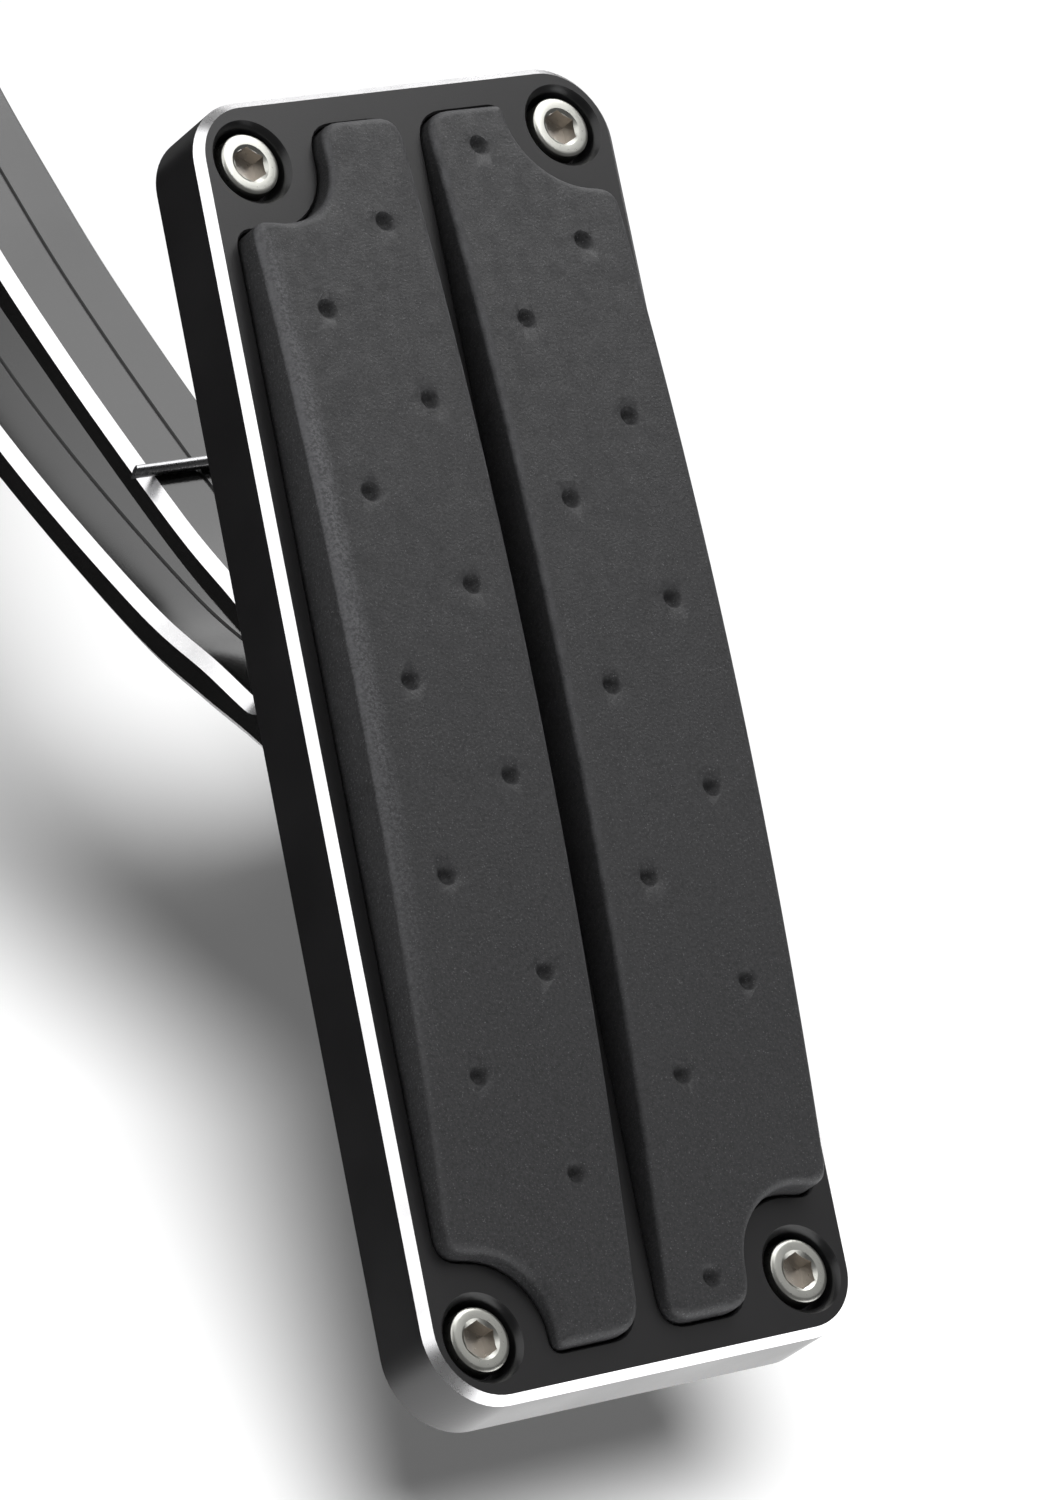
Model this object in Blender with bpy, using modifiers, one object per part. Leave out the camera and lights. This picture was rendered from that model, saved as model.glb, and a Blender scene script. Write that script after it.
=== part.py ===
"""Hanging billet accelerator pedal: bracket, slotted arm, tilting pad with rubber inserts.

World frame: X to the driver's right, +Y to the firewall, +Z up.  The origin is the middle of
the bracket's firewall face.  Dimensions are in millimetres and are turned into metres by MM.
"""
import math

import bmesh
import bpy
from mathutils import Matrix, Vector

MM = 0.001
GAP = 0.3                       # clearance left wherever two pieces rest on each other

# ---- where the joints are (Y, Z) ---------------------------------------------------------
PIVOT = (-42.0, 0.0)            # arm pivot, behind the firewall face
PAD_CENTRE = (-224.0, -175.0)   # middle of the pad's front face
PAD_SLOPE = math.radians(55.0)  # pad face above the horizontal
PAD_PIN_UP = 1.0                # pad pin, along the pad and behind its face
PAD_PIN_BACK = 24.0

# ---- pad ---------------------------------------------------------------------------------
LEAN = 0.185                    # sideways lean of the pad's long sides, per unit of height
LEAN_ANGLE = math.atan(LEAN)
PAD_HALF_WIDTH = 30.6           # square to the long sides
PAD_HALF_LENGTH = 81.6          # along the long sides
PAD_THICK = 10.2
PAD_CORNER = 8.6
PAD_CORNER_STEPS = 6
PAD_CHAMFER = 1.05
REAR_CHAMFER = 0.35
SCREW_P = 23.05                 # pad screws, square to and along the long sides
SCREW_Q = 73.4
SCREW_SUNK = 0.4                # screw heads, below the pad face
SCREW_HEAD = (3.96, 4.5)        # radius, height
SCREW_SHANK = (2.35, 9.4)       # radius, length from the top of the head
SCREW_SOCKET = (4.0, 2.6)       # across flats, depth
SCREW_BORE_R = 2.65
COUNTERBORE = (4.75, 5.3, 0.7)  # radius, depth, chamfer
RECESS_TOP = 7.3                # depth of the recess that takes the backing plate
RIM = 3.3

# ---- rubber inserts ----------------------------------------------------------------------
INSERT_IN = 2.1                 # long edges, from the pad's middle line
INSERT_OUT = 27.0
INSERT_END = 76.7
NOTCH_R = 9.3
NOTCH_STEPS = 5
CROWN_TOP = 6.5                 # height above the pad face at mid length
CROWN_R = 630.0
FLANGE = 1.0
FLANGE_TOP = 5.9
FLANGE_BOTTOM = 7.0
INSERT_EDGE = 0.7
DIMPLE_R = 1.2
DIMPLE_DEPTH = 1.0
DIMPLE_STEP = 12.0
DIMPLE_COLUMNS = {              # side: (distance from the middle line, upward offset, steps)
    -1: ((8.4, 0.9, (-5, -3, -1, 1, 3, 5)), (19.8, 0.2, (-4, -2, 0, 2, 4))),
    1: ((8.4, 0.9, (-6, -4, -2, 0, 2, 4, 6)), (19.8, 0.5, (-3, -1, 1, 3, 5))),
}

# ---- arm ---------------------------------------------------------------------------------
ARM_THICK = 16.0
ARM_CHAMFER = 1.4
ARM_BORE = 14.0
EYE_BORE = 8.6
CABLE_BORE = 7.8
PIVOT_FLANGE = (10.0, 0.9)      # bush flanges: radius, thickness
EYE_FLANGE = (5.6, 0.7)
# Y and Z from the pad centre, width, slot width, from the pad pin to the cable eye
ARM_STATIONS = (
    (20.2, -12.9, 14.4, 0.0),
    (38.4, -6.0, 14.6, 4.8),
    (50.0, -1.3, 17.0, 6.0),
    (63.7, 4.7, 19.3, 8.5),
    (88.9, 18.9, 22.6, 11.8),
    (110.0, 33.0, 25.0, 13.0),
    (135.0, 54.0, 27.0, 13.8),
    (157.0, 82.0, 28.0, 14.0),
    (172.0, 115.0, 28.0, 13.2),
    (180.0, 148.0, 28.0, 11.6),
    (182.0, 175.0, 33.0, 0.0),
    (181.5, 198.0, 18.5, 0.0),
    (180.0, 222.0, 15.0, 0.0),
)
SLOT_FROM = 1.3                 # slot ends, counted in stations
SLOT_TO = 8.45
SLOT_SHIFT = 0.2                # the slot sits a little towards the arm's front edge
SAMPLES = 4                     # outline points per station

# ---- pad hinge ---------------------------------------------------------------------------
LUG_THICK = 4.0
LUG_LEFT = -13.3                # outer face of the left lug
LUG_RIGHT = 19.4                # outer face of the right lug, beyond the pad spring
LUG_R = 8.0
FOOT_THICK = 4.0
FOOT_LEFT = -23.6
FOOT_RIGHT = 27.8
FOOT_UP = 13.0
PIN_R = 3.0
PIN_HEAD = (5.0, 3.4)           # radius, thickness
PIN_TAIL = 4.4                  # length beyond the left lug
PIN_GROOVE = (0.9, 2.3)         # from the lug, near and far side of the clip's groove
PIN_CLIP = (2.6, 5.4, 0.8)      # inner and outer radius, thickness
HINGE_SCREWS_X = {"left": -19.2, "right": 23.6}
HINGE_SCREWS_V = {"low": -7.5, "high": 7.5}
HINGE_HOLE_R = 2.3
PAD_SPRING_R = 5.6              # middle of the wire
PAD_SPRING_WIRE = 0.8
PAD_SPRING_PITCH = 1.75
PAD_SPRING_TURNS = 2
PAD_SPRING_X = 10.1             # coil end next to the arm
PAD_SPRING_END = -9.9           # cut end of the leg that crosses the arm
PAD_SPRING_LEG = 40.0           # how far the other leg reaches up the pad
PAD_SPRING_STATION = 3.25       # where the leg crosses the arm, counted in stations

# ---- bracket -----------------------------------------------------------------------------
BASE_HALF = 33.0
BASE_TOP = 42.0
BASE_BOTTOM = -48.0
BASE_THICK = 7.0
CHEEK_IN = 22.0
CHEEK_OUT = 29.0
CHEEK_R = 15.0
BOLT_R = 5.0
MOUNT_HOLES = ((-24.0, 31.0), (24.0, 31.0), (-24.0, -37.0), (24.0, -37.0))
CHEEK_FOOT = (-24.0, 20.0)      # bottom and top of the cheeks at the base plate
MOUNT_HOLE = (3.4, 6.5, 3.5)    # bolt radius, head radius, depth left under the head
IDLE_STOP = (28.0, -33.4)       # height of the screw and Y of its tip
FULL_STOP = (-36.0, -18.6)
STOP_R = 3.0
STOP_SOCKET = (3.0, 3.5)
WASHER = (9.5, 1.6)             # radius, thickness
SPACER = (6.8, 9.8)             # radius, distance of its inner end from the middle
PIVOT_HEAD = (8.0, 7.0)
PIVOT_NUT = (15.0, 9.0)         # across flats, height
RETURN_SPRING_R = 9.4           # middle of the wire
RETURN_SPRING_WIRE = 1.2
RETURN_SPRING_PITCH = 2.75
RETURN_SPRING_TURNS = 3
RETURN_SPRING_X = 11.4          # inner end of each coil
BRIDGE = (-26.6, -29.0)         # Y and Z of the wire behind the arm

# ---- cable end ---------------------------------------------------------------------------
SWIVEL_R = 6.0
SWIVEL_NECK_R = 3.6
SWIVEL_OUT = 21.5               # left end of the barrel
SWIVEL_NECK = 8.6               # where the neck begins
SWIVEL_TAIL = 11.0              # right end, past the arm
CABLE_HOLE = (13.0, 1.4)        # distance out from the arm's middle, radius
SET_SCREW = (2.5, 20.8, 15.1)   # radius, outer and inner end

COLOURS = {                     # base colour, roughness, metallic
    "anodised": ((0.030, 0.029, 0.031, 1.0), 0.32, 0.65),
    "rubber": ((0.028, 0.028, 0.030, 1.0), 0.72, 0.0),
    "stainless": ((0.60, 0.59, 0.56, 1.0), 0.28, 1.0),
    "spring_steel": ((0.33, 0.33, 0.34, 1.0), 0.34, 1.0),
    "bronze": ((0.45, 0.30, 0.14, 1.0), 0.40, 1.0),
}

bpy.ops.object.select_all(action="DESELECT")
for old in list(bpy.data.objects):
    bpy.data.objects.remove(old, do_unlink=True)

parts = bpy.data.collections.new("accelerator_pedal")
cutters = bpy.data.collections.new("cutters")
bpy.context.scene.collection.children.link(parts)
bpy.context.scene.collection.children.link(cutters)


# ==== placing =============================================================================
def shift(x=0.0, y=0.0, z=0.0):
    return Matrix.Translation(Vector((x, y, z)) * MM)


def turn(degrees, axis):
    return Matrix.Rotation(math.radians(degrees), 4, axis)


# x across, y up along the pad, z out of its face
PAD_PLANE = shift(0.0, *PAD_CENTRE) @ Matrix.Rotation(PAD_SLOPE, 4, "X")
# the same, turned so that y runs along the pad's long sides
PAD_SIDES = PAD_PLANE @ Matrix.Rotation(-LEAN_ANGLE, 4, "Z")
# x along world Y, y along world Z, z along world X
PROFILE = Matrix(((0, 0, 1, 0), (1, 0, 0, 0), (0, 1, 0, 0), (0, 0, 0, 1)))
# a turned piece's +z points along world +X
ALONG_X = turn(90, "Y")
PAD_PIN = PAD_PLANE @ shift(0.0, PAD_PIN_UP, -PAD_PIN_BACK)


def material(name):
    found = bpy.data.materials.get(name)
    if found:
        return found
    made = bpy.data.materials.new(name)
    made.use_nodes = True
    colour, roughness, metallic = COLOURS[name]
    shader = made.node_tree.nodes["Principled BSDF"]
    shader.inputs["Base Color"].default_value = colour
    shader.inputs["Roughness"].default_value = roughness
    shader.inputs["Metallic"].default_value = metallic
    made.diffuse_color = colour
    return made


def piece(name, mesh, place, stuff, parent=None):
    """A named sub-part; with no material it is a cutter."""
    made = bpy.data.objects.new(name, mesh)
    if stuff:
        mesh.materials.clear()
        mesh.materials.append(material(stuff).copy())
        mesh.materials[0].name = name + "_" + stuff
        parts.objects.link(made)
    else:
        cutters.objects.link(made)
        made.hide_render = True
        made.display_type = "WIRE"
    if parent:
        made.parent = parent
        made.matrix_parent_inverse = parent.matrix_world.inverted()
    made.matrix_world = place
    return made


def cut(target, cutter, operation="DIFFERENCE"):
    modifier = target.modifiers.new(operation.lower(), "BOOLEAN")
    modifier.operation = operation
    modifier.solver = "EXACT"
    modifier.object = cutter


def joint_empty(name, place):
    made = bpy.data.objects.new(name, None)
    made.empty_display_size = 0.02
    parts.objects.link(made)
    made.matrix_world = place
    return made


# ==== shapes ==============================================================================
def from_curve(curve):
    """The mesh of a curve, with its caps welded on."""
    holder = bpy.data.objects.new("holder", curve)
    cutters.objects.link(holder)
    bpy.context.view_layer.update()
    ready = holder.evaluated_get(bpy.context.evaluated_depsgraph_get())
    mesh = bpy.data.meshes.new_from_object(ready)
    bpy.data.objects.remove(holder)
    bm = bmesh.new()
    bm.from_mesh(mesh)
    bmesh.ops.remove_doubles(bm, verts=bm.verts, dist=1e-6)
    bmesh.ops.recalc_face_normals(bm, faces=bm.faces)
    bm.to_mesh(mesh)
    bm.free()
    return mesh


def prism(loops, low, high, edge=0.0):
    """A flat outline with holes, between two heights, with chamfers on its rims."""
    curve = bpy.data.curves.new("outline", "CURVE")
    curve.dimensions = "2D"
    curve.fill_mode = "BOTH"
    curve.extrude = (high - low) / 2.0 * MM - edge * MM
    curve.bevel_depth = edge * MM
    curve.bevel_resolution = 0
    curve.offset = -edge * MM
    for loop in loops:
        spline = curve.splines.new("POLY")
        spline.points.add(len(loop) - 1)
        for point, (x, y) in zip(spline.points, loop):
            point.co = (x * MM, y * MM, 0.0, 1.0)
        spline.use_cyclic_u = True
    mesh = from_curve(curve)
    mesh.transform(shift(z=(low + high) / 2.0))
    return mesh


def chamfer_rim(mesh, height, width):
    """Cuts a chamfer on the rim that lies at one height of an unpierced prism."""
    bm = bmesh.new()
    bm.from_mesh(mesh)
    bmesh.ops.dissolve_limit(bm, angle_limit=0.01, verts=bm.verts, edges=bm.edges)
    rim = [e for e in bm.edges
           if all(abs(v.co.z - height * MM) < 1e-6 for v in e.verts) and e.calc_face_angle(0) > 1.0]
    bmesh.ops.bevel(bm, geom=rim, offset=width * MM, segments=1, profile=0.5, affect="EDGES")
    bm.to_mesh(mesh)
    bm.free()


def loft(levels):
    """A closed solid through anticlockwise loops of one count, each with its height."""
    bm = bmesh.new()
    rings = [[bm.verts.new((x * MM, y * MM, height * MM)) for x, y in loop]
             for loop, height in levels]
    count = len(rings[0])
    for below, above in zip(rings, rings[1:]):
        for i in range(count):
            j = (i + 1) % count
            bm.faces.new((below[i], below[j], above[j], above[i]))
    bm.faces.new(rings[0][::-1])
    bm.faces.new(rings[-1])
    mesh = bpy.data.meshes.new("loft")
    bm.to_mesh(mesh)
    bm.free()
    return mesh


def turned(name, profile, place, stuff, parent=None, steps=18, closed=False):
    """A profile of (radius, height) pairs, from top to bottom, swept round local z."""
    mesh = bpy.data.meshes.new(name)
    points = [(r * MM, 0.0, z * MM) for r, z in profile]
    edges = [(i, i + 1) for i in range(len(points) - 1)]
    if closed:
        edges.append((len(points) - 1, 0))
    mesh.from_pydata(points, edges, [])
    made = piece(name, mesh, place, stuff, parent)
    screw = made.modifiers.new("screw", "SCREW")
    screw.angle = math.tau
    screw.steps = steps
    screw.render_steps = steps
    screw.use_merge_vertices = True
    screw.merge_threshold = 1e-6
    return made


def hexagon(across_flats, low, high):
    bm = bmesh.new()
    radius = across_flats / math.sqrt(3.0) * MM
    bmesh.ops.create_cone(bm, cap_ends=True, segments=6, radius1=radius, radius2=radius,
                          depth=(high - low) * MM, matrix=shift(z=(low + high) / 2.0))
    mesh = bpy.data.meshes.new("hexagon")
    bm.to_mesh(mesh)
    bm.free()
    return mesh


def box(low, high):
    bm = bmesh.new()
    bmesh.ops.create_cube(bm, size=1.0)
    mesh = bpy.data.meshes.new("box")
    bm.to_mesh(mesh)
    bm.free()
    size = [(b - a) * MM for a, b in zip(low, high)]
    middle = [(a + b) / 2.0 for a, b in zip(low, high)]
    mesh.transform(shift(*middle) @ Matrix.Diagonal((*size, 1.0)))
    return mesh


def wire(name, points, radius, stuff, parent=None):
    """Round wire through world points given in millimetres."""
    curve = bpy.data.curves.new(name, "CURVE")
    curve.dimensions = "3D"
    curve.bevel_depth = radius * MM
    curve.bevel_resolution = 2
    curve.use_fill_caps = True
    spline = curve.splines.new("POLY")
    spline.points.add(len(points) - 1)
    for point, place in zip(spline.points, points):
        point.co = (*[c * MM for c in place], 1.0)
    return piece(name, from_curve(curve), Matrix.Identity(4), stuff, parent)


def arc(centre, radius, start, end, steps):
    """Points of an arc, angles in degrees."""
    found = []
    for i in range(steps + 1):
        a = math.radians(start + (end - start) * i / steps)
        found.append((centre[0] + radius * math.cos(a), centre[1] + radius * math.sin(a)))
    return found


def blend_corners(loop, corners, steps=3):
    """Rounds chosen corners of a loop; corners maps a point to its trim length."""
    soft = []
    for i, corner in enumerate(loop):
        trim = corners.get(i)
        if trim is None:
            near = any(gap_along(loop, i, j) < corners[j] for j in corners)
            if not near:
                soft.append(corner)
            continue
        a = walk(loop, i, -1, trim)
        b = walk(loop, i, 1, trim)
        for k in range(steps + 1):
            t = k / steps
            soft.append(tuple((1 - t) ** 2 * a[c] + 2 * t * (1 - t) * corner[c] + t * t * b[c]
                              for c in (0, 1)))
    return soft


def walk(loop, start, step, length):
    """The point that lies a given length along a loop from one of its points."""
    here = loop[start]
    index = start
    while True:
        index = (index + step) % len(loop)
        there = loop[index]
        piece_length = math.dist(here, there)
        if piece_length >= length:
            t = length / piece_length
            return tuple(here[c] + (there[c] - here[c]) * t for c in (0, 1))
        length -= piece_length
        here = there


def gap_along(loop, i, j):
    """The shorter way round the loop between two of its points."""
    count = len(loop)
    forward = sum(math.dist(loop[k % count], loop[(k + 1) % count])
                  for k in range(i, i + (j - i) % count))
    whole = sum(math.dist(loop[k], loop[(k + 1) % count]) for k in range(count))
    return min(forward, whole - forward)


def grown(loop, distance):
    """An anticlockwise loop moved outwards by a distance."""
    found = []
    count = len(loop)
    for i in range(count):
        before = Vector(loop[i]) - Vector(loop[i - 1])
        after = Vector(loop[(i + 1) % count]) - Vector(loop[i])
        n1 = Vector((before.y, -before.x)).normalized()
        n2 = Vector((after.y, -after.x)).normalized()
        found.append(tuple(Vector(loop[i]) + (n1 + n2) * (distance / (1.0 + n1.dot(n2)))))
    return found


# ==== outlines ============================================================================
def pad_outline(inset=0.0):
    """The leaning rectangle of the pad: y along the long sides."""
    w = PAD_HALF_WIDTH - inset
    h = PAD_HALF_LENGTH - inset
    radius = PAD_CORNER - inset
    lean = math.degrees(LEAN_ANGLE)
    loop = []
    for sx, sy, first, last in ((1, -1, lean - 90, 0), (1, 1, 0, lean + 90),
                                (-1, 1, lean + 90, 180), (-1, -1, 180, lean + 270)):
        cx = sx * (w - radius)
        cy = sy * (h - radius / math.cos(LEAN_ANGLE)) + LEAN * cx
        loop += arc((cx, cy), radius, first, last, PAD_CORNER_STEPS)
    return loop


def insert_outline(side, grow=0.0):
    """The right insert's outline, or with side -1 the left's, which is the same turned round."""
    low_notch = (SCREW_P, -SCREW_Q + LEAN * SCREW_P)
    high_notch = (SCREW_P, SCREW_Q + LEAN * SCREW_P)
    finger = SCREW_P - NOTCH_R
    loop = [(INSERT_IN, -INSERT_END + LEAN * INSERT_IN), (finger, -INSERT_END + LEAN * finger)]
    loop += arc(low_notch, NOTCH_R, 180, 90, NOTCH_STEPS)
    loop += [(INSERT_OUT, low_notch[1] + NOTCH_R), (INSERT_OUT, high_notch[1] - NOTCH_R)]
    loop += arc(high_notch, NOTCH_R, 270, 180, NOTCH_STEPS)
    loop += [(finger, INSERT_END + LEAN * finger), (INSERT_IN, INSERT_END + LEAN * INSERT_IN)]
    last = len(loop) - 1
    shelf = NOTCH_STEPS + 3
    rounding = {0: 3.6, 1: 3.0, shelf: 2.6, shelf + 1: 2.6, last - 1: 2.6, last: 3.6}
    loop = blend_corners(loop, rounding)
    if grow:
        loop = grown(loop, grow)
    return [(side * x, side * y) for x, y in loop]


def arm_at(s):
    """Y, Z, width, slot width and direction of the arm's middle line, s in stations."""
    i = min(int(s), len(ARM_STATIONS) - 2)
    t = s - i
    rows = [ARM_STATIONS[min(max(i + k, 0), len(ARM_STATIONS) - 1)] for k in (-1, 0, 1, 2)]
    found = []
    slope = []
    for a, b, c, d in zip(*rows):
        p, q, r = c - a, 2 * a - 5 * b + 4 * c - d, 3 * b - a - 3 * c + d
        found.append(b + 0.5 * (p * t + q * t * t + r * t ** 3))
        slope.append(0.5 * (p + 2 * q * t + 3 * r * t * t))
    y, z, width, slot = found
    along = Vector((slope[0], slope[1])).normalized()
    middle = Vector((y + PAD_CENTRE[0], z + PAD_CENTRE[1]))
    return middle, width, slot, along


def arm_edges(first, last, count, width_of, sideways=0.0):
    """Front and rear edges of a strip along the arm's middle line."""
    front, rear = [], []
    for k in range(count + 1):
        s = first + (last - first) * k / count
        middle, width, slot, along = arm_at(s)
        left = Vector((-along.y, along.x))
        half = width_of(width, slot) / 2.0
        front.append(middle + left * (sideways + half))
        rear.append(middle + left * (sideways - half))
    return front, rear


def round_end(start, end, steps):
    """Half a circle from one point to another, anticlockwise, without the ends."""
    centre = (start + end) / 2.0
    spoke = start - centre
    found = []
    for k in range(1, steps):
        turned_by = Matrix.Rotation(math.pi * k / steps, 2)
        found.append(centre + turned_by @ spoke)
    return found


def strip_outline(front, rear, steps):
    """A closed anticlockwise outline from two edges, with round ends."""
    loop = rear + round_end(rear[-1], front[-1], steps)
    loop += front[::-1] + round_end(front[0], rear[0], steps)
    return [tuple(p) for p in loop]


# ==== pad =================================================================================
def build_pad(parent):
    mesh = prism([pad_outline()], -PAD_THICK, 0.0)
    chamfer_rim(mesh, 0.0, PAD_CHAMFER)
    chamfer_rim(mesh, -PAD_THICK, REAR_CHAMFER)
    plate = piece("pad_plate", mesh, PAD_SIDES, "anodised", parent)
    recess = prism([pad_outline(RIM)], -PAD_THICK - 2.0, -RECESS_TOP)
    cut(plate, piece("cut_pad_recess", recess, PAD_SIDES, None))
    for side, label in ((-1, "left"), (1, "right")):
        window = prism([insert_outline(side, GAP)], -PAD_THICK, 3.0)
        cut(plate, piece("cut_window_" + label, window, PAD_SIDES, None))
        pocket = prism([insert_outline(side, FLANGE + GAP)], -PAD_THICK, -FLANGE_TOP + GAP)
        cut(plate, piece("cut_pocket_" + label, pocket, PAD_SIDES, None))

    depth = RECESS_TOP + GAP
    mesh = prism([pad_outline(RIM + GAP)], -PAD_THICK, -depth)
    backing = piece("backing_plate", mesh, PAD_SIDES, "anodised", parent)

    r, deep, flare = COUNTERBORE
    below = -PAD_THICK - 2.0
    bore = [(0, 2), (r + flare + 2, 2), (r + flare, 0), (r, -flare), (r, -deep),
            (SCREW_BORE_R, -deep), (SCREW_BORE_R, below), (0, below)]
    for sx, column in ((-1, "left"), (1, "right")):
        for sy, row in ((-1, "bottom"), (1, "top")):
            p = sx * SCREW_P
            place = PAD_SIDES @ shift(p, sy * SCREW_Q + LEAN * p)
            label = row + "_" + column
            counterbore = turned("cut_counterbore_" + label, bore, place, None)
            cut(plate, counterbore)
            cut(backing, counterbore)
            cap_screw("pad_screw_" + label, place @ shift(z=-SCREW_SUNK), parent,
                      SCREW_HEAD, SCREW_SHANK, SCREW_SOCKET)
    tapped = [(0, 0), (HINGE_HOLE_R, 0), (HINGE_HOLE_R, below), (0, below)]
    for label, place in hinge_screw_places(0.0):
        cut(backing, turned("cut_backing_" + label, tapped, place, None, steps=16))


def hinge_screw_places(height):
    """The hinge screws' labels and places, at one height over the pad face."""
    return [(row + "_" + column, PAD_PLANE @ shift(x, v, height))
            for column, x in HINGE_SCREWS_X.items() for row, v in HINGE_SCREWS_V.items()]


def cap_screw(name, place, parent, head, shank, socket, chamfer=0.35, tip=0.5):
    """A socket-head screw: head and shank are (radius, length), the socket (flats, depth)."""
    r, h = head
    shank_r, end = shank
    profile = [(0, 0), (r - chamfer, 0), (r, -chamfer), (r, -h), (shank_r, -h),
               (shank_r, tip - end), (shank_r - tip, -end), (0, -end)]
    made = turned(name, profile, place, "stainless", parent)
    hole = piece("cut_" + name, hexagon(socket[0], -socket[1], 1.0), place, None)
    cut(made, hole)
    return made


def build_insert(side, label, parent):
    body = prism([insert_outline(side)], -FLANGE_BOTTOM, 12.0)
    made = piece("insert_" + label, body, PAD_SIDES, "rubber", parent)
    flange = prism([insert_outline(side, FLANGE)], -FLANGE_BOTTOM, -FLANGE_TOP)
    cut(made, piece("add_flange_" + label, flange, PAD_SIDES, None), "UNION")
    centre = (0.0, CROWN_TOP - CROWN_R)
    reach = math.degrees(math.asin(90.0 / CROWN_R))
    profile = arc(centre, CROWN_R, 90 - reach, 90 + reach, 14) + [(-90.0, -20.0), (90.0, -20.0)]
    crown = prism([profile], -35.0, 35.0)
    crown.transform(PROFILE)
    cut(made, piece("keep_crown_" + label, crown, PAD_SIDES, None), "INTERSECT")
    edge = made.modifiers.new("edge", "BEVEL")
    edge.width = INSERT_EDGE * MM
    edge.segments = 1
    edge.limit_method = "ANGLE"
    edge.angle_limit = math.radians(60)
    cone = [(0, 0.6), (DIMPLE_R + 0.6, 0.6), (DIMPLE_R * 0.45, -DIMPLE_DEPTH), (0, -DIMPLE_DEPTH)]
    for column, (p, up, steps) in enumerate(DIMPLE_COLUMNS[side]):
        for k in steps:
            q = k * DIMPLE_STEP + up
            top = math.sqrt(CROWN_R ** 2 - q * q) + CROWN_TOP - CROWN_R
            place = PAD_SIDES @ shift(side * p, q, top)
            name = "cut_dimple_{}_{}_{}".format(label, column, k + steps[-1])
            cut(made, turned(name, cone, place, None, steps=8))


# ==== pad hinge ===========================================================================
def build_pad_hinge(parent):
    top = -PAD_THICK - GAP
    foot = box((FOOT_LEFT, -FOOT_UP, top - FOOT_THICK), (FOOT_RIGHT, FOOT_UP, top))
    made = piece("hinge_bracket", foot, PAD_PLANE, "anodised", parent)
    lug = arc((PAD_PIN_UP, -PAD_PIN_BACK), LUG_R, 180, 360, 10)
    lug += [(PAD_PIN_UP + LUG_R, top - 1.0), (PAD_PIN_UP - LUG_R, top - 1.0)]
    for label, low in (("left", LUG_LEFT), ("right", LUG_RIGHT - LUG_THICK)):
        mesh = prism([lug], low, low + LUG_THICK)
        mesh.transform(PROFILE)
        cut(made, piece("add_lug_" + label, mesh, PAD_PLANE, None), "UNION")
    hole = [(0, 30), (PIN_R + GAP, 30), (PIN_R + GAP, -30), (0, -30)]
    cut(made, turned("cut_pin_hole", hole, PAD_PIN @ ALONG_X, None))
    bore = [(0, 8), (HINGE_HOLE_R, 8), (HINGE_HOLE_R, -4), (0, -4)]
    for label, place in hinge_screw_places(top - FOOT_THICK):
        cut(made, turned("cut_hinge_" + label, bore, place, None, steps=16))
        button_screw("hinge_screw_" + label, place @ turn(180, "X") @ shift(z=GAP), parent)

    right = LUG_RIGHT + GAP
    left = LUG_LEFT - GAP
    head_r, head = PIN_HEAD
    near, far = PIN_GROOVE
    clip_in, clip_out, clip = PIN_CLIP
    body = [(0, right + head), (head_r, right + head), (head_r, right), (PIN_R, right),
            (PIN_R, left - PIN_TAIL + 0.6), (PIN_R - 0.6, left - PIN_TAIL), (0, left - PIN_TAIL)]
    pin = turned("pad_pin", body, PAD_PIN @ ALONG_X, "stainless", parent)
    floor = clip_in - GAP
    groove = [(PIN_R + 1, left - near), (PIN_R + 1, left - far), (floor, left - far),
              (floor, left - near)]
    cut(pin, turned("cut_pin_groove", groove, PAD_PIN @ ALONG_X, None, closed=True))
    snap_ring("pad_pin_clip", PAD_PIN @ shift(left - (near + far) / 2.0), clip_in, clip_out, clip,
              parent)
    beside_arm = ARM_THICK / 2.0 + EYE_FLANGE[1] + 2 * GAP
    tube("pad_pin_spacer", PAD_PIN, beside_arm, LUG_RIGHT - LUG_THICK - GAP, PIN_R + GAP,
         PAD_SPRING_R - PAD_SPRING_WIRE - GAP, "stainless", parent)


def button_screw(name, place, parent):
    """A small screw with a domed head and a hex socket."""
    dome = arc((0.0, -3.6), 5.8, 68, 49, 3)
    profile = [(0, 2.15)] + dome + [(3.75, 0), (1.9, 0), (1.9, -6.2), (0, -6.2)]
    made = turned(name, profile, place, "stainless", parent, steps=20)
    cut(made, piece("cut_" + name, hexagon(2.4, 0.7, 4.0), place, None))


def tube(name, place, low, high, inner, outer, stuff, parent, flange=None):
    """A tube along X; a flange is (radius, thickness) and sits beyond the high end."""
    profile = [(inner, high), (outer, high), (outer, low), (inner, low)]
    if flange:
        r, t = flange
        profile = [(inner, high + t), (r, high + t), (r, high), (outer, high), (outer, low),
                   (inner, low)]
    return turned(name, profile, place @ ALONG_X, stuff, parent, closed=True)


def snap_ring(name, place, inner, outer, thick, parent):
    """An open retaining ring round X."""
    outside = arc((0, 0), outer, 25, 335, 18)
    inside = arc((0, 0), inner, 335, 25, 14)
    mesh = prism([outside + inside], -thick / 2.0, thick / 2.0)
    return piece(name, mesh, place @ PROFILE, "spring_steel", parent)


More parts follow.
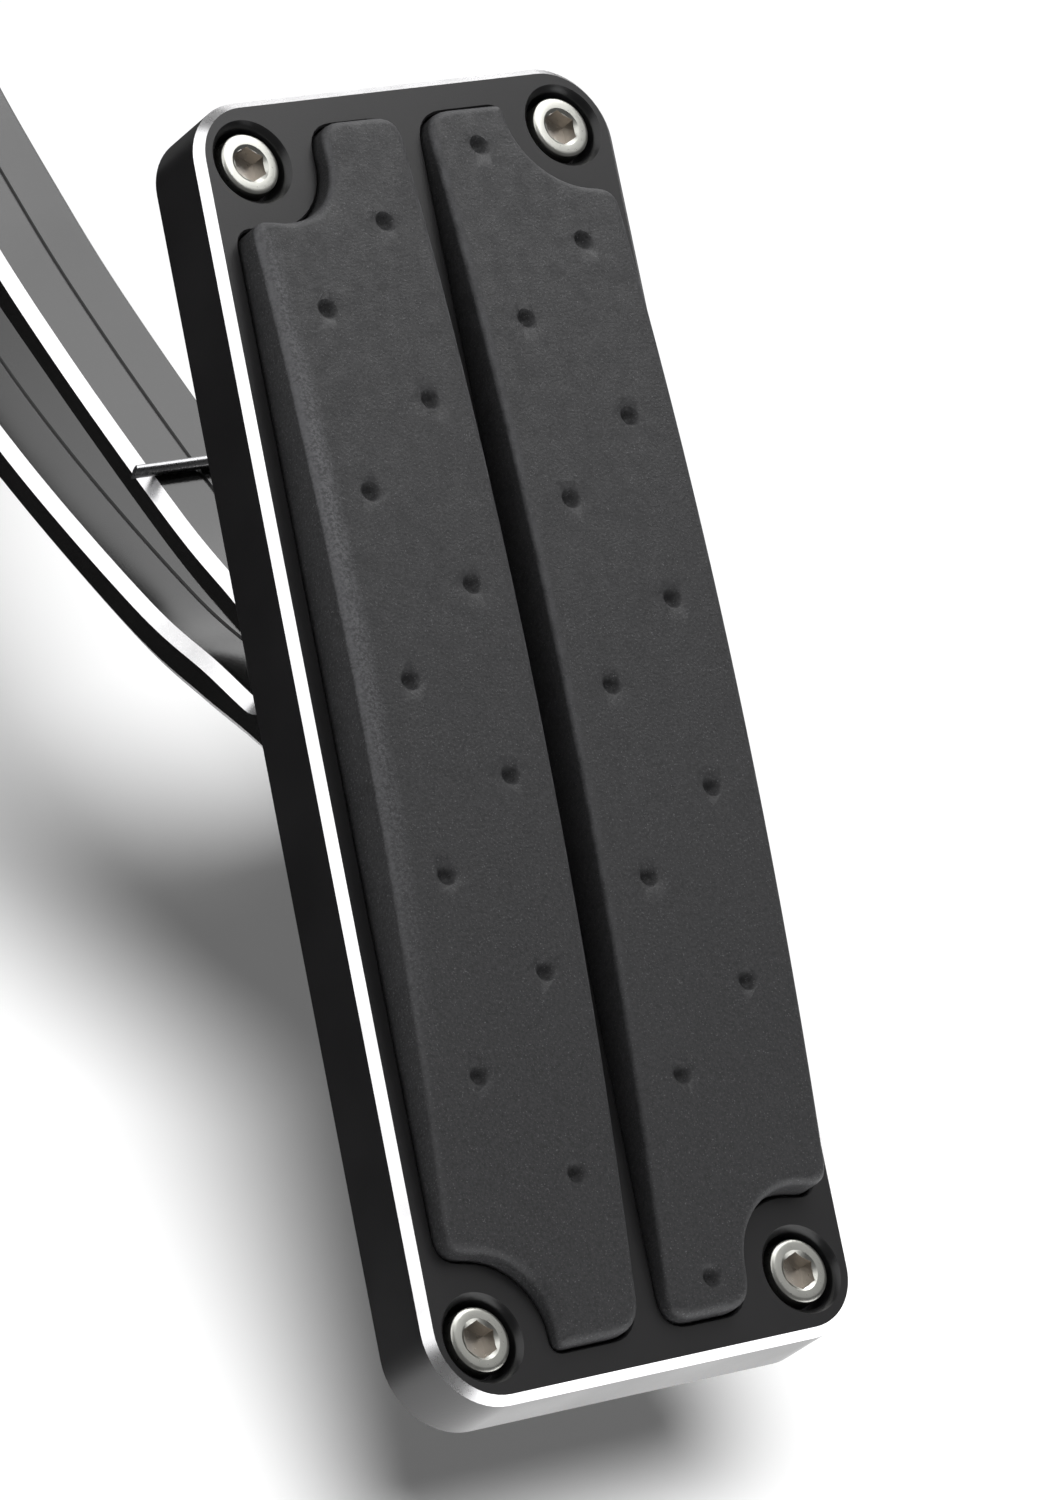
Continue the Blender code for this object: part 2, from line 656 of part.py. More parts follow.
def build_pad_spring(parent):
    """Coil round the pad pin; one leg crosses the arm's front edge, the other backs the pad."""
    centre = PAD_PIN.translation / MM
    up_pad = Vector((0, math.cos(PAD_SLOPE), math.sin(PAD_SLOPE)))
    out = Vector((0, -math.sin(PAD_SLOPE), math.cos(PAD_SLOPE)))
    middle, width, _, along = arm_at(PAD_SPRING_STATION)
    left = Vector((-along.y, along.x))
    rest = middle + left * (width / 2.0 + PAD_SPRING_WIRE + GAP / 2.0)
    arm_leg = Vector((0, rest.x, rest.y))
    behind = PAD_THICK + PAD_SPRING_WIRE + GAP
    pad_leg = up_pad * PAD_SPRING_LEG - out * behind + Vector((0, *PAD_CENTRE))

    def tangent(target):
        """Where a wire from the coil to a far point leaves the coil, as an angle."""
        away = Vector((target.y - centre.y, target.z - centre.z))
        return math.atan2(away.y, away.x) + math.acos(PAD_SPRING_R / away.length)

    start = tangent(arm_leg)
    end = tangent(pad_leg) + math.tau * PAD_SPRING_TURNS
    coil = helix(centre, PAD_SPRING_R, start, end, PAD_SPRING_X, PAD_SPRING_PITCH)
    leg = [Vector((x, arm_leg.y, arm_leg.z)) for x in (PAD_SPRING_END, 0.0, 7.9)]
    bend = Vector((PAD_SPRING_X, arm_leg.y, arm_leg.z))
    towards = (coil[0] - bend).normalized()
    leg.append(bend + Vector((-0.6, 0, 0)) + towards * 0.5)
    leg.append(bend + towards * 1.9)
    far = Vector((coil[-1].x, pad_leg.y, pad_leg.z))
    wire("pad_spring", leg + coil + [far], PAD_SPRING_WIRE, "spring_steel", parent)


def helix(centre, radius, start, end, x, pitch, per_turn=11):
    """Points of a coil round X, angles in radians from +Y towards +Z."""
    turns = (end - start) / math.tau
    steps = int(per_turn * turns) + 1
    found = []
    for k in range(steps + 1):
        a = start + (end - start) * k / steps
        found.append(Vector((x + pitch * turns * k / steps, centre.y + radius * math.cos(a),
                             centre.z + radius * math.sin(a))))
    return found


# ==== arm =================================================================================
def build_arm(parent):
    last = len(ARM_STATIONS) - 1
    front, rear = arm_edges(0, last, last * SAMPLES, lambda w, slot: w)
    outline = strip_outline(front, rear, 8)
    first, end = SLOT_FROM, SLOT_TO
    inner, outer = arm_edges(first, end, 24, lambda w, slot: slot, SLOT_SHIFT)
    slot = strip_outline(inner, outer, 6)
    half = ARM_THICK / 2.0
    rim = half - ARM_CHAMFER
    small = grown(outline, -ARM_CHAMFER)
    mesh = loft([(small, -half), (outline, -rim), (outline, rim), (small, half)])
    mesh.transform(PROFILE)
    arm = piece("arm", mesh, Matrix.Identity(4), "anodised", parent)
    wide = grown(slot, ARM_CHAMFER + 0.5)
    opening = loft([(wide, -half - 0.5), (slot, -rim), (slot, rim), (wide, half + 0.5)])
    opening.transform(PROFILE)
    cut(arm, piece("cut_slot", opening, Matrix.Identity(4), None))
    pivot = shift(0, *PIVOT)
    cable = shift(0, ARM_STATIONS[-1][0] + PAD_CENTRE[0], ARM_STATIONS[-1][1] + PAD_CENTRE[1])
    for name, place, radius in (("cut_arm_bore", pivot, ARM_BORE / 2.0),
                                ("cut_arm_eye", PAD_PIN, EYE_BORE / 2.0),
                                ("cut_cable_eye", cable, CABLE_BORE / 2.0)):
        hole = [(0, 12), (radius, 12), (radius, -12), (0, -12)]
        cut(arm, turned(name, hole, place @ ALONG_X, None, steps=28))
    for side, label in ((0, "right"), (180, "left")):
        end = half + GAP
        tube("pivot_bush_" + label, pivot @ turn(side, "Z"), 0.3, end, BOLT_R + GAP,
             ARM_BORE / 2.0 - GAP, "bronze", parent, flange=PIVOT_FLANGE)
        tube("eye_bush_" + label, PAD_PIN @ turn(side, "Z"), 0.3, end, PIN_R + GAP,
             EYE_BORE / 2.0 - GAP, "bronze", parent, flange=EYE_FLANGE)
    return cable


# ==== firewall bracket ====================================================================
def build_bracket():
    loop = [(-BASE_HALF, BASE_BOTTOM), (BASE_HALF, BASE_BOTTOM), (BASE_HALF, BASE_TOP),
            (-BASE_HALF, BASE_TOP)]
    base = prism([blend_corners(loop, dict.fromkeys(range(4), 6.0))], 0.0, BASE_THICK)
    # the outline's y is world Z and its height runs towards the driver
    upright = Matrix(((1, 0, 0, 0), (0, 0, -1, 0), (0, 1, 0, 0), (0, 0, 0, 1)))
    bracket = piece("pivot_bracket", base, upright, "anodised", None)
    cheek = [(-BASE_THICK + 2.0, z) for z in CHEEK_FOOT]
    cheek += arc(PIVOT, CHEEK_R, 80, 280, 12)
    for side, label in ((-1, "left"), (1, "right")):
        low = CHEEK_IN if side > 0 else -CHEEK_OUT
        mesh = prism([cheek], low, low + CHEEK_OUT - CHEEK_IN)
        mesh.transform(PROFILE)
        cut(bracket, piece("add_cheek_" + label, mesh, Matrix.Identity(4), None), "UNION")
    hole = [(0, 40), (BOLT_R + GAP, 40), (BOLT_R + GAP, -40), (0, -40)]
    cut(bracket, turned("cut_pivot_hole", hole, shift(0, *PIVOT) @ ALONG_X, None))
    bolt, head, seat = MOUNT_HOLE
    bore = [(0, 9), (head, 9), (head, seat), (bolt, seat), (bolt, -2), (0, -2)]
    for k, (x, z) in enumerate(MOUNT_HOLES):
        cut(bracket, turned("cut_mount_{}".format(k), bore, upright @ shift(x, z), None, steps=20))
    for name, (z, tip) in (("idle", IDLE_STOP), ("full", FULL_STOP)):
        place = upright @ shift(0, z)
        tapped = [(0, 9), (STOP_R + GAP, 9), (STOP_R + GAP, -2), (0, -2)]
        cut(bracket, turned("cut_stop_" + name, tapped, place, None, steps=16))
        body = [(0, 0.5), (STOP_R, 0.5), (STOP_R, tip + 0.8), (STOP_R - 0.8, tip), (0, tip)]
        facing = place @ turn(180, "X")
        screw = turned(name + "_stop_screw", body, facing, "stainless", None)
        flats, deep = STOP_SOCKET
        cut(screw, piece("cut_{}_stop".format(name), hexagon(flats, -deep, 2.0), facing, None))
        hex_nut(name + "_stop_nut", place @ shift(z=BASE_THICK + GAP), 10.0, 4.0, STOP_R + GAP)


def hex_nut(name, place, flats, height, bore):
    """A chamfered hexagon nut standing on local z = 0."""
    made = piece(name, hexagon(flats, 0.0, height), place, "stainless")
    r = flats / 2.0
    corner = flats / math.sqrt(3.0)
    slope = (corner - r) * 0.6
    keep = [(0, height), (r, height), (corner + 0.2, height - slope), (corner + 0.2, slope),
            (r, 0), (0, 0)]
    cut(made, turned("keep_" + name, keep, place, None), "INTERSECT")
    hole = [(0, height + 1), (bore, height + 1), (bore, -1), (0, -1)]
    cut(made, turned("cut_" + name, hole, place, None))


def build_pivot():
    place = shift(0, *PIVOT)
    outside = CHEEK_OUT + GAP
    washer_r, washer = WASHER
    spacer_r, spacer_in = SPACER
    for side, label in ((0, "right"), (180, "left")):
        at = place @ turn(side, "Z")
        tube("pivot_washer_" + label, at, outside, outside + washer, BOLT_R + GAP, washer_r,
             "stainless", None)
        tube("spring_spacer_" + label, at, spacer_in, CHEEK_IN - GAP, BOLT_R + GAP, spacer_r,
             "stainless", None)
    seat = outside + washer + GAP
    flats, nut = PIVOT_NUT
    head = PIVOT_HEAD[1]
    cap_screw("pivot_bolt", place @ ALONG_X @ turn(180, "X") @ shift(z=seat + head), None,
              PIVOT_HEAD, (BOLT_R, head + 2 * seat + nut + 1.5), (6.0, 4.0), chamfer=0.4)
    hex_nut("pivot_nut", place @ ALONG_X @ shift(z=seat), flats, nut, BOLT_R + GAP)


def build_return_spring():
    """Two coils on the spacers, joined by a bridge behind the arm, legs on the base plate."""
    centre = Vector((0, *PIVOT))
    bridge = Vector((0, *BRIDGE))
    away = bridge - centre
    start = math.atan2(away.z, away.y) + math.acos(RETURN_SPRING_R / away.length)
    end = math.radians(90) + math.tau * RETURN_SPRING_TURNS
    coil = helix(centre, RETURN_SPRING_R, start, end, RETURN_SPRING_X, RETURN_SPRING_PITCH)
    foot = Vector((coil[-1].x, -BASE_THICK - RETURN_SPRING_WIRE - GAP, coil[-1].z))
    corner = [bridge + Vector((RETURN_SPRING_X, 0, 0)) + Vector(step)
              for step in ((-1.2, 0.2, 0.0), (-0.3, -0.4, 0.6), (0.0, -1.2, 1.6))]
    right = [bridge + Vector((5.0, 0, 0))] + corner + coil + [foot]
    left = [Vector((-p.x, p.y, p.z)) for p in right]
    wire("return_spring", left[::-1] + right, RETURN_SPRING_WIRE, "spring_steel", None)


# ==== cable end ===========================================================================
def build_cable_end(cable, parent):
    """A swivel barrel on the arm's upper eye, with a cross hole and a set screw."""
    place = cable @ ALONG_X @ turn(180, "X")
    barrel = [(0, SWIVEL_OUT), (SWIVEL_R - 0.5, SWIVEL_OUT), (SWIVEL_R, SWIVEL_OUT - 0.5),
              (SWIVEL_R, SWIVEL_NECK), (SWIVEL_NECK_R, SWIVEL_NECK), (SWIVEL_NECK_R, -SWIVEL_TAIL),
              (0, -SWIVEL_TAIL)]
    made = turned("cable_swivel", barrel, place, "stainless", parent)
    out, hole_r = CABLE_HOLE
    cross = [(0, 9), (hole_r, 9), (hole_r, -9), (0, -9)]
    across = cable @ shift(-out) @ turn(90, "X")
    cut(made, turned("cut_cable_hole", cross, across, None, steps=16))
    screw_r, outer, inner = SET_SCREW
    tapped = [(0, 23), (screw_r + GAP, 23), (screw_r + GAP, inner - GAP), (0, inner - GAP)]
    cut(made, turned("cut_set_screw", tapped, place, None, steps=16))
    groove = [(5.0, -9.1), (5.0, -10.3), (2.9, -10.3), (2.9, -9.1)]
    cut(made, turned("cut_swivel_groove", groove, place, None, closed=True))
    snap_ring("swivel_clip", cable @ shift(9.7), 3.2, 6.2, 0.7, parent)
    screw = [(0, outer), (screw_r, outer), (screw_r, inner + 0.5), (screw_r - 0.5, inner),
             (0, inner)]
    made = turned("cable_set_screw", screw, place, "stainless", parent, steps=20)
    cut(made, piece("cut_cable_set_screw", hexagon(2.5, outer - 2.4, 22.0), place, None))


arm_joint = joint_empty("arm_joint", shift(0, *PIVOT))
pad_joint = joint_empty("pad_joint", PAD_PIN)
bpy.context.view_layer.update()
build_bracket()
build_pivot()
build_return_spring()
cable_eye = build_arm(arm_joint)
cable_joint = joint_empty("cable_joint", cable_eye)
bpy.context.view_layer.update()
build_cable_end(cable_eye, cable_joint)
build_pad_spring(arm_joint)
build_pad(pad_joint)
build_insert(-1, "left", pad_joint)
build_insert(1, "right", pad_joint)
build_pad_hinge(pad_joint)
bpy.context.view_layer.update()
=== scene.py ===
"""Visual model of a hanging billet accelerator pedal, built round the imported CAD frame.

Lengths here are in millimetres and are turned into metres by MM.
"""
import math

import bmesh
import bpy
from mathutils import Matrix, Vector


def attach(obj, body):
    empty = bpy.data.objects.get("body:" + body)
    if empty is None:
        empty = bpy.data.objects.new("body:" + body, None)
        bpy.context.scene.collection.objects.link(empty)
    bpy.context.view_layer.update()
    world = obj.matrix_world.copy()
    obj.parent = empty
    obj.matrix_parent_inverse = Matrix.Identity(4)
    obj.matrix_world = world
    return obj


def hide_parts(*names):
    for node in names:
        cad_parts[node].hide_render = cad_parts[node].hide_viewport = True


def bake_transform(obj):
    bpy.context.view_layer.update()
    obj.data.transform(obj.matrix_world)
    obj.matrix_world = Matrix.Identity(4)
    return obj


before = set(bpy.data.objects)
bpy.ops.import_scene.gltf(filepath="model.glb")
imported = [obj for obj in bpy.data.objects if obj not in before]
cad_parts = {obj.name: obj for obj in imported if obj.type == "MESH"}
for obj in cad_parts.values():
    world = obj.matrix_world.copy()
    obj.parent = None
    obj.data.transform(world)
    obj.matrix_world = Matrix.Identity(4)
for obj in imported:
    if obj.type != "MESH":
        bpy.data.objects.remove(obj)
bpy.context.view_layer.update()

MM = 0.001

# ---- where things are, as in the CAD -----------------------------------------------------
PIVOT = (-42.0, 0.0)
PAD_CENTRE = (-224.0, -175.0)
PAD_SLOPE = math.radians(55.0)
PIN_UP, PIN_BACK = 1.0, 24.0
LEAN = 0.185
LEAN_ANGLE = math.atan(LEAN)
GAP = 0.3

PAD_HALF_WIDTH, PAD_HALF_LENGTH, PAD_THICK = 30.6, 81.6, 10.2
PAD_CORNER, PAD_CHAMFER, REAR_CHAMFER = 8.6, 1.05, 0.35
SCREW_P, SCREW_Q = 23.05, 73.4
SCREW_SUNK = 0.4
# a screw's head and shank are (radius, length) and its socket is (flats, depth)
SCREW_HEAD, SCREW_SHANK, SCREW_SOCKET = (3.96, 4.5), (2.35, 9.4), (4.0, 2.6)
BORE_R, BORE_DEPTH, BORE_HOLE = 4.75, 5.3, 2.65
RECESS_TOP, RIM = 7.3, 3.3
BACKING_EDGE = 0.3

INSERT_IN, INSERT_OUT, INSERT_END = 2.1, 27.0, 76.7
NOTCH_R = 9.3
CROWN_TOP, CROWN_R = 6.5, 630.0
INSERT_ROUND, INSERT_DEEP, WINDOW_LIP = 1.15, 7.0, 0.25
CUT_ALONG, CUT_ACROSS = 3.0, 2.4    # how far apart an insert's mesh is divided
DIMPLE_STEP = 12.0
# on each side: distance from the middle, shift up the pad, and rows counted in steps
DIMPLE_COLUMNS = {
    -1: ((8.4, 0.9, (-5, -3, -1, 1, 3, 5)), (19.8, 0.2, (-4, -2, 0, 2, 4))),
    1: ((8.4, 0.9, (-6, -4, -2, 0, 2, 4, 6)), (19.8, 0.5, (-3, -1, 1, 3, 5))),
}
DIMPLE = [(0, 0.6), (1.9, 0.6), (1.5, 0.06), (1.28, -0.09), (1.08, -0.36), (0.8, -0.85),
          (0.45, -1.2), (0, -1.3)]

ARM_THICK, ARM_CHAMFER, ARM_BORE, EYE_BORE, CABLE_BORE = 16.0, 1.4, 14.0, 8.6, 7.8
PIVOT_FLANGE, EYE_FLANGE = (10.0, 0.9), (5.6, 0.7)      # bush flanges: radius, thickness
# Y and Z from the pad's centre, width, and slot width, from the pad pin to the cable eye
ARM_STATIONS = (
    (20.2, -12.9, 14.4, 0.0), (38.4, -6.0, 14.6, 4.8), (50.0, -1.3, 17.0, 6.0),
    (63.7, 4.7, 19.3, 8.5), (88.9, 18.9, 22.6, 11.8), (110.0, 33.0, 25.0, 13.0),
    (135.0, 54.0, 27.0, 13.8), (157.0, 82.0, 28.0, 14.0), (172.0, 115.0, 28.0, 13.2),
    (180.0, 148.0, 28.0, 11.6), (182.0, 175.0, 33.0, 0.0), (181.5, 198.0, 18.5, 0.0),
    (180.0, 222.0, 15.0, 0.0),
)
SLOT_FROM, SLOT_TO, SLOT_SHIFT = 1.3, 8.45, 0.2         # ends counted in stations
GROOVE_HALF, GROOVE_FLOOR, GROOVE_DEPTH = 0.35, 0.15, 0.3

LUG_THICK, LUG_LEFT, LUG_RIGHT, LUG_R, PIN_R = 4.0, -13.3, 19.4, 8.0, 3.0
FOOT_THICK, FOOT_LEFT, FOOT_RIGHT, FOOT_UP = 4.0, -23.6, 27.8, 13.0
HINGE_SCREWS_X = {"left": -19.2, "right": 23.6}
HINGE_SCREWS_V = {"low": -7.5, "high": 7.5}
HINGE_SCREW_HOLE = 2.3
PIN_HEAD_R, PIN_HEAD, PIN_TAIL, PIN_GROOVE_R, PIN_GROOVE = 5.0, 3.4, 4.4, 2.3, (0.9, 2.3)
PAD_COIL_R, PAD_WIRE_R, PAD_COIL_X = 5.6, 0.8, 10.1
PIN_SPACER_FROM, PIN_SPACER_R = 9.3, 4.5

BASE_HALF, BASE_TOP, BASE_BOTTOM, BASE_THICK = 33.0, 42.0, -48.0, 7.0
CHEEK_IN, CHEEK_OUT, CHEEK_R, BOLT_R = 22.0, 29.0, 15.0, 5.0
BRACKET_CORNER, BRACKET_EDGE = 6.0, 0.9
MOUNT_HOLES = ((-24.0, 31.0), (24.0, 31.0), (-24.0, -37.0), (24.0, -37.0))
IDLE_STOP, FULL_STOP = (28.0, -33.4), (-36.0, -18.6)    # height and how far the tip reaches
STOP_R, STOP_HOLE = 3.0, 3.3
WASHER, WASHER_R, SPRING_SPACER_FROM, SPRING_SPACER_R = 1.6, 9.5, 9.8, 6.8
COIL_R, COIL_WIRE_R, COIL_X, BRIDGE = 9.4, 1.2, 11.4, (-26.6, -29.0)


# ==== placing =============================================================================
def shift(x=0.0, y=0.0, z=0.0):
    return Matrix.Translation(Vector((x, y, z)) * MM)


def turn(degrees, axis):
    return Matrix.Rotation(math.radians(degrees), 4, axis)


HERE = Matrix.Identity(4)
PAD_PLANE = shift(0.0, *PAD_CENTRE) @ Matrix.Rotation(PAD_SLOPE, 4, "X")
PAD_SIDES = PAD_PLANE @ Matrix.Rotation(-LEAN_ANGLE, 4, "Z")
PROFILE = Matrix(((0, 0, 1, 0), (1, 0, 0, 0), (0, 1, 0, 0), (0, 0, 0, 1)))
UPRIGHT = Matrix(((1, 0, 0, 0), (0, 0, -1, 0), (0, 1, 0, 0), (0, 0, 0, 1)))
ALONG_X = turn(90, "Y")
PAD_PIN = PAD_PLANE @ shift(0.0, PIN_UP, -PIN_BACK)
PIVOT_AT = shift(0.0, *PIVOT)
CABLE_AT = shift(0.0, ARM_STATIONS[-1][0] + PAD_CENTRE[0], ARM_STATIONS[-1][1] + PAD_CENTRE[1])


# ==== materials ===========================================================================
def nodes_of(name):
    made = bpy.data.materials.new(name)
    made.use_nodes = True
    tree = made.node_tree
    return made, tree, tree.nodes["Principled BSDF"]


def add(tree, kind, **values):
    node = tree.nodes.new(kind)
    for key, value in values.items():
        if key in node.inputs:
            node.inputs[key].default_value = value
        else:
            setattr(node, key, value)
    return node


def noise_node(tree, scale, detail=3.0, rough=0.55, stretch=None):
    """Noise in the piece's own coordinates, features per metre."""
    coord = add(tree, "ShaderNodeTexCoord")
    source = coord.outputs["Object"]
    if stretch:
        mapping = add(tree, "ShaderNodeMapping", Scale=stretch)
        tree.links.new(source, mapping.inputs["Vector"])
        source = mapping.outputs["Vector"]
    node = add(tree, "ShaderNodeTexNoise", Scale=scale, Detail=detail, Roughness=rough)
    tree.links.new(source, node.inputs["Vector"])
    return node.outputs["Fac"]


def ramp(tree, source, low, high, a, b):
    """Maps a noise value from low..high to the values a..b."""
    node = add(tree, "ShaderNodeMapRange")
    node.inputs["From Min"].default_value = low
    node.inputs["From Max"].default_value = high
    node.inputs["To Min"].default_value = a
    node.inputs["To Max"].default_value = b
    tree.links.new(source, node.inputs["Value"])
    return node.outputs["Result"]


def mix(tree, factor, a, b):
    node = tree.nodes.new("ShaderNodeMix")
    node.data_type = "RGBA"
    tree.links.new(factor, node.inputs["Factor"])
    for socket, value in ((node.inputs["A"], a), (node.inputs["B"], b)):
        if isinstance(value, tuple):
            socket.default_value = (*value, 1.0)
        else:
            tree.links.new(value, socket)
    return node.outputs["Result"]


def bump(tree, shader, layers):
    """Stacked bumps: (height source, strength, distance in mm)."""
    last = None
    for source, strength, distance in layers:
        node = add(tree, "ShaderNodeBump", Strength=strength, Distance=distance * MM)
        tree.links.new(source, node.inputs["Height"])
        if last:
            tree.links.new(last, node.inputs["Normal"])
        last = node.outputs["Normal"]
    tree.links.new(last, shader.inputs["Normal"])


def anodised(name, dark, light, rough, grain=0.35, specular=0.5):
    """Black anodised aluminium: satin, with a fine blasted grain and faint cloudiness."""
    made, tree, shader = nodes_of(name)
    fine = noise_node(tree, 3600.0, 2.0, 0.6)
    cloud = noise_node(tree, 60.0, 4.0, 0.5)
    tone = mix(tree, ramp(tree, cloud, 0.3, 0.7, 0.0, 1.0), dark, light)
    tree.links.new(tone, shader.inputs["Base Color"])
    tree.links.new(ramp(tree, cloud, 0.25, 0.75, rough - 0.04, rough + 0.05),
                   shader.inputs["Roughness"])
    shader.inputs["Metallic"].default_value = 0.0
    shader.inputs["Specular IOR Level"].default_value = specular
    bump(tree, shader, [(fine, grain, 0.03)])
    return made


def bare(name, tint, rough, brushed, scale=900.0, spread=0.08, relief=0.12):
    """Bare metal with tool marks: brushed is how the noise is squeezed along each axis."""
    made, tree, shader = nodes_of(name)
    marks = noise_node(tree, scale, 4.0, 0.65, brushed)
    cloud = noise_node(tree, 180.0, 3.0, 0.5)
    dull = tuple(c * 0.82 for c in tint)
    tone = mix(tree, ramp(tree, cloud, 0.3, 0.7, 0.0, 1.0), dull, tint)
    tree.links.new(tone, shader.inputs["Base Color"])
    tree.links.new(ramp(tree, marks, 0.3, 0.7, rough - spread, rough + spread),
                   shader.inputs["Roughness"])
    shader.inputs["Metallic"].default_value = 1.0
    bump(tree, shader, [(marks, relief, 0.012)])
    return made


def rubber(name):
    """Moulded rubber: fine grain and pale dust specks, rounded edges lightened partly as wear and
    partly as a painted highlight, and painted highlight flecks on the left insert's outer edge.
    """
    made, tree, shader = nodes_of(name)
    grain = noise_node(tree, 2600.0, 3.0, 0.6)
    soft = noise_node(tree, 420.0, 3.0, 0.5)
    cloud = noise_node(tree, 45.0, 4.0, 0.55)
    dust = noise_node(tree, 5200.0, 1.0, 0.4)
    base = mix(tree, ramp(tree, grain, 0.32, 0.68, 0.0, 1.0), (0.030, 0.030, 0.032),
               (0.060, 0.060, 0.063))
    base = mix(tree, ramp(tree, cloud, 0.3, 0.7, 0.0, 0.12), base, (0.075, 0.075, 0.078))
    specks = ramp(tree, dust, 0.66, 0.76, 0.0, 0.9)
    base = mix(tree, specks, base, (0.16, 0.16, 0.165))
    # the rounded top edges are lightened: partly rubbed wear, partly a painted highlight, faded
    # towards the pad's bottom
    rim = add(tree, "ShaderNodeAttribute", attribute_name="rim")
    wear_and_sheen = tree.nodes.new("ShaderNodeMath")
    wear_and_sheen.operation = "MULTIPLY"
    tree.links.new(rim.outputs["Fac"], wear_and_sheen.inputs[0])
    tree.links.new(ramp(tree, soft, 0.35, 0.65, 0.25, 0.75), wear_and_sheen.inputs[1])
    base = mix(tree, wear_and_sheen.outputs[0], base, (0.20, 0.201, 0.212))
    # painted highlight: pale flecks along the left insert's outer edge
    left_edge_highlight = add(tree, "ShaderNodeAttribute", attribute_name="left_edge_highlight")
    left_edge_highlight_mix = tree.nodes.new("ShaderNodeMath")
    left_edge_highlight_mix.operation = "MULTIPLY"
    tree.links.new(left_edge_highlight.outputs["Fac"], left_edge_highlight_mix.inputs[0])
    tree.links.new(ramp(tree, grain, 0.40, 0.62, 0.25, 1.0), left_edge_highlight_mix.inputs[1])
    base = mix(tree, left_edge_highlight_mix.outputs[0], base, (0.17, 0.17, 0.18))
    tree.links.new(base, shader.inputs["Base Color"])
    tree.links.new(ramp(tree, soft, 0.3, 0.7, 0.52, 0.68), shader.inputs["Roughness"])
    shader.inputs["Specular IOR Level"].default_value = 0.45
    bump(tree, shader, [(soft, 0.25, 0.08), (grain, 1.0, 0.09)])
    return made


PAD_BLACK = anodised("pad_anodised", (0.017, 0.0165, 0.0175), (0.022, 0.0212, 0.0225), 0.34)
# painted shade: a darker black for the counterbores, the walls round the insert windows and the
# arm's middle groove
RECESS_SHADE_BLACK = anodised("recess_anodised_painted_shade", (0.010, 0.010, 0.011), (0.014, 0.014, 0.015), 0.30)
ARM_BLACK = anodised("arm_anodised", (0.011, 0.0108, 0.0108), (0.015, 0.0146, 0.0144), 0.16, 0.12)
SLOT_BLACK = anodised("slot_anodised", (0.011, 0.0107, 0.0105), (0.015, 0.0146, 0.0142), 0.18,
                      0.12, 0.24)
BRACKET_BLACK = anodised("bracket_anodised", (0.014, 0.0138, 0.0142), (0.020, 0.0195, 0.020), 0.33)
EDGE = bare("machined_edge", (0.93, 0.925, 0.935), 0.28, (1.0, 1.0, 1.0), 1500.0, 0.02, 0.012)
STAINLESS = bare("stainless_satin", (0.66, 0.66, 0.615), 0.31, (1.0, 1.0, 1.0), 1600.0, 0.05, 0.06)
SOCKET = bare("stainless_socket", (0.66, 0.62, 0.57), 0.34, (1.0, 1.0, 4.0), 1400.0)
BRIGHT_ZINC = bare("fastener_steel", (0.58, 0.58, 0.575), 0.30, (1.0, 1.0, 1.0), 1300.0)
SPRING = bare("spring_wire", (0.40, 0.40, 0.41), 0.30, (4.0, 1.0, 1.0), 1200.0)
BRONZE = bare("bronze_bush", (0.62, 0.42, 0.20), 0.36, (1.0, 1.0, 1.0), 1000.0)
RUBBER = rubber("moulded_rubber")


# ==== shapes ==============================================================================
def finished(bm, name="shape"):
    mesh = bpy.data.meshes.new(name)
    bm.to_mesh(mesh)
    bm.free()
    return mesh


def loft(levels, bands=None, caps=(0, 0)):
    """A closed solid through anticlockwise loops of one count, each with its height."""
    bm = bmesh.new()
    rings = [[bm.verts.new((x * MM, y * MM, height * MM)) for x, y in loop]
             for loop, height in levels]
    count = len(rings[0])
    for k, (below, above) in enumerate(zip(rings, rings[1:])):
        for i in range(count):
            j = (i + 1) % count
            face = bm.faces.new((below[i], below[j], above[j], above[i]))
            face.material_index = bands[k] if bands else 0
    bm.faces.new(rings[0][::-1]).material_index = caps[0]
    bm.faces.new(rings[-1]).material_index = caps[1]
    return finished(bm)


def slab(loop, low, high, edge=0.0, mark=0, edge_mark=0):
    """A flat outline between two heights, with chamfers on both rims."""
    if not edge:
        return loft([(loop, low), (loop, high)], [mark], (mark, mark))
    small = grown(loop, -edge)
    return loft([(small, low), (loop, low + edge), (loop, high - edge), (small, high)],
                [edge_mark, mark, edge_mark], (mark, mark))


def spun(profile, steps=48, bands=None, closed=False):
    """(radius, height) pairs, from top to bottom, swept round z into a solid."""
    bm = bmesh.new()
    rings = []
    for r, z in profile:
        if r < 1e-6:
            rings.append([bm.verts.new((0.0, 0.0, z * MM))])
        else:
            rings.append([bm.verts.new((r * MM * math.cos(math.tau * k / steps),
                                        r * MM * math.sin(math.tau * k / steps), z * MM))
                          for k in range(steps)])
    pairs = list(zip(rings, rings[1:]))
    if closed:
        pairs.append((rings[-1], rings[0]))
    for n, (upper, lower) in enumerate(pairs):
        for k in range(steps):
            j = (k + 1) % steps
            corners = []
            corners += [upper[k]] if len(upper) > 1 else [upper[0]]
            if len(lower) > 1:
                corners += [lower[k], lower[j]]
            else:
                corners += [lower[0]]
            if len(upper) > 1:
                corners += [upper[j]]
            face = bm.faces.new(corners)
            face.material_index = bands[n] if bands else 0
    bmesh.ops.recalc_face_normals(bm, faces=bm.faces)
    return finished(bm)


def drill(radius, high, low, steps):
    """A plain round cutter along z."""
    return spun([(0, high), (radius, high), (radius, low), (0, low)], steps)


def ngon(across_flats, low, high, sides=6, mark=0):
    """A prism along z."""
    radius = across_flats / 2.0 / math.cos(math.pi / sides)
    loop = [(radius * math.cos(math.tau * (k + 0.5) / sides),
             radius * math.sin(math.tau * (k + 0.5) / sides)) for k in range(sides)]
    return loft([(loop, low), (loop, high)], [mark], (mark, mark))


def placed(mesh, place):
    mesh.transform(place)
    return mesh


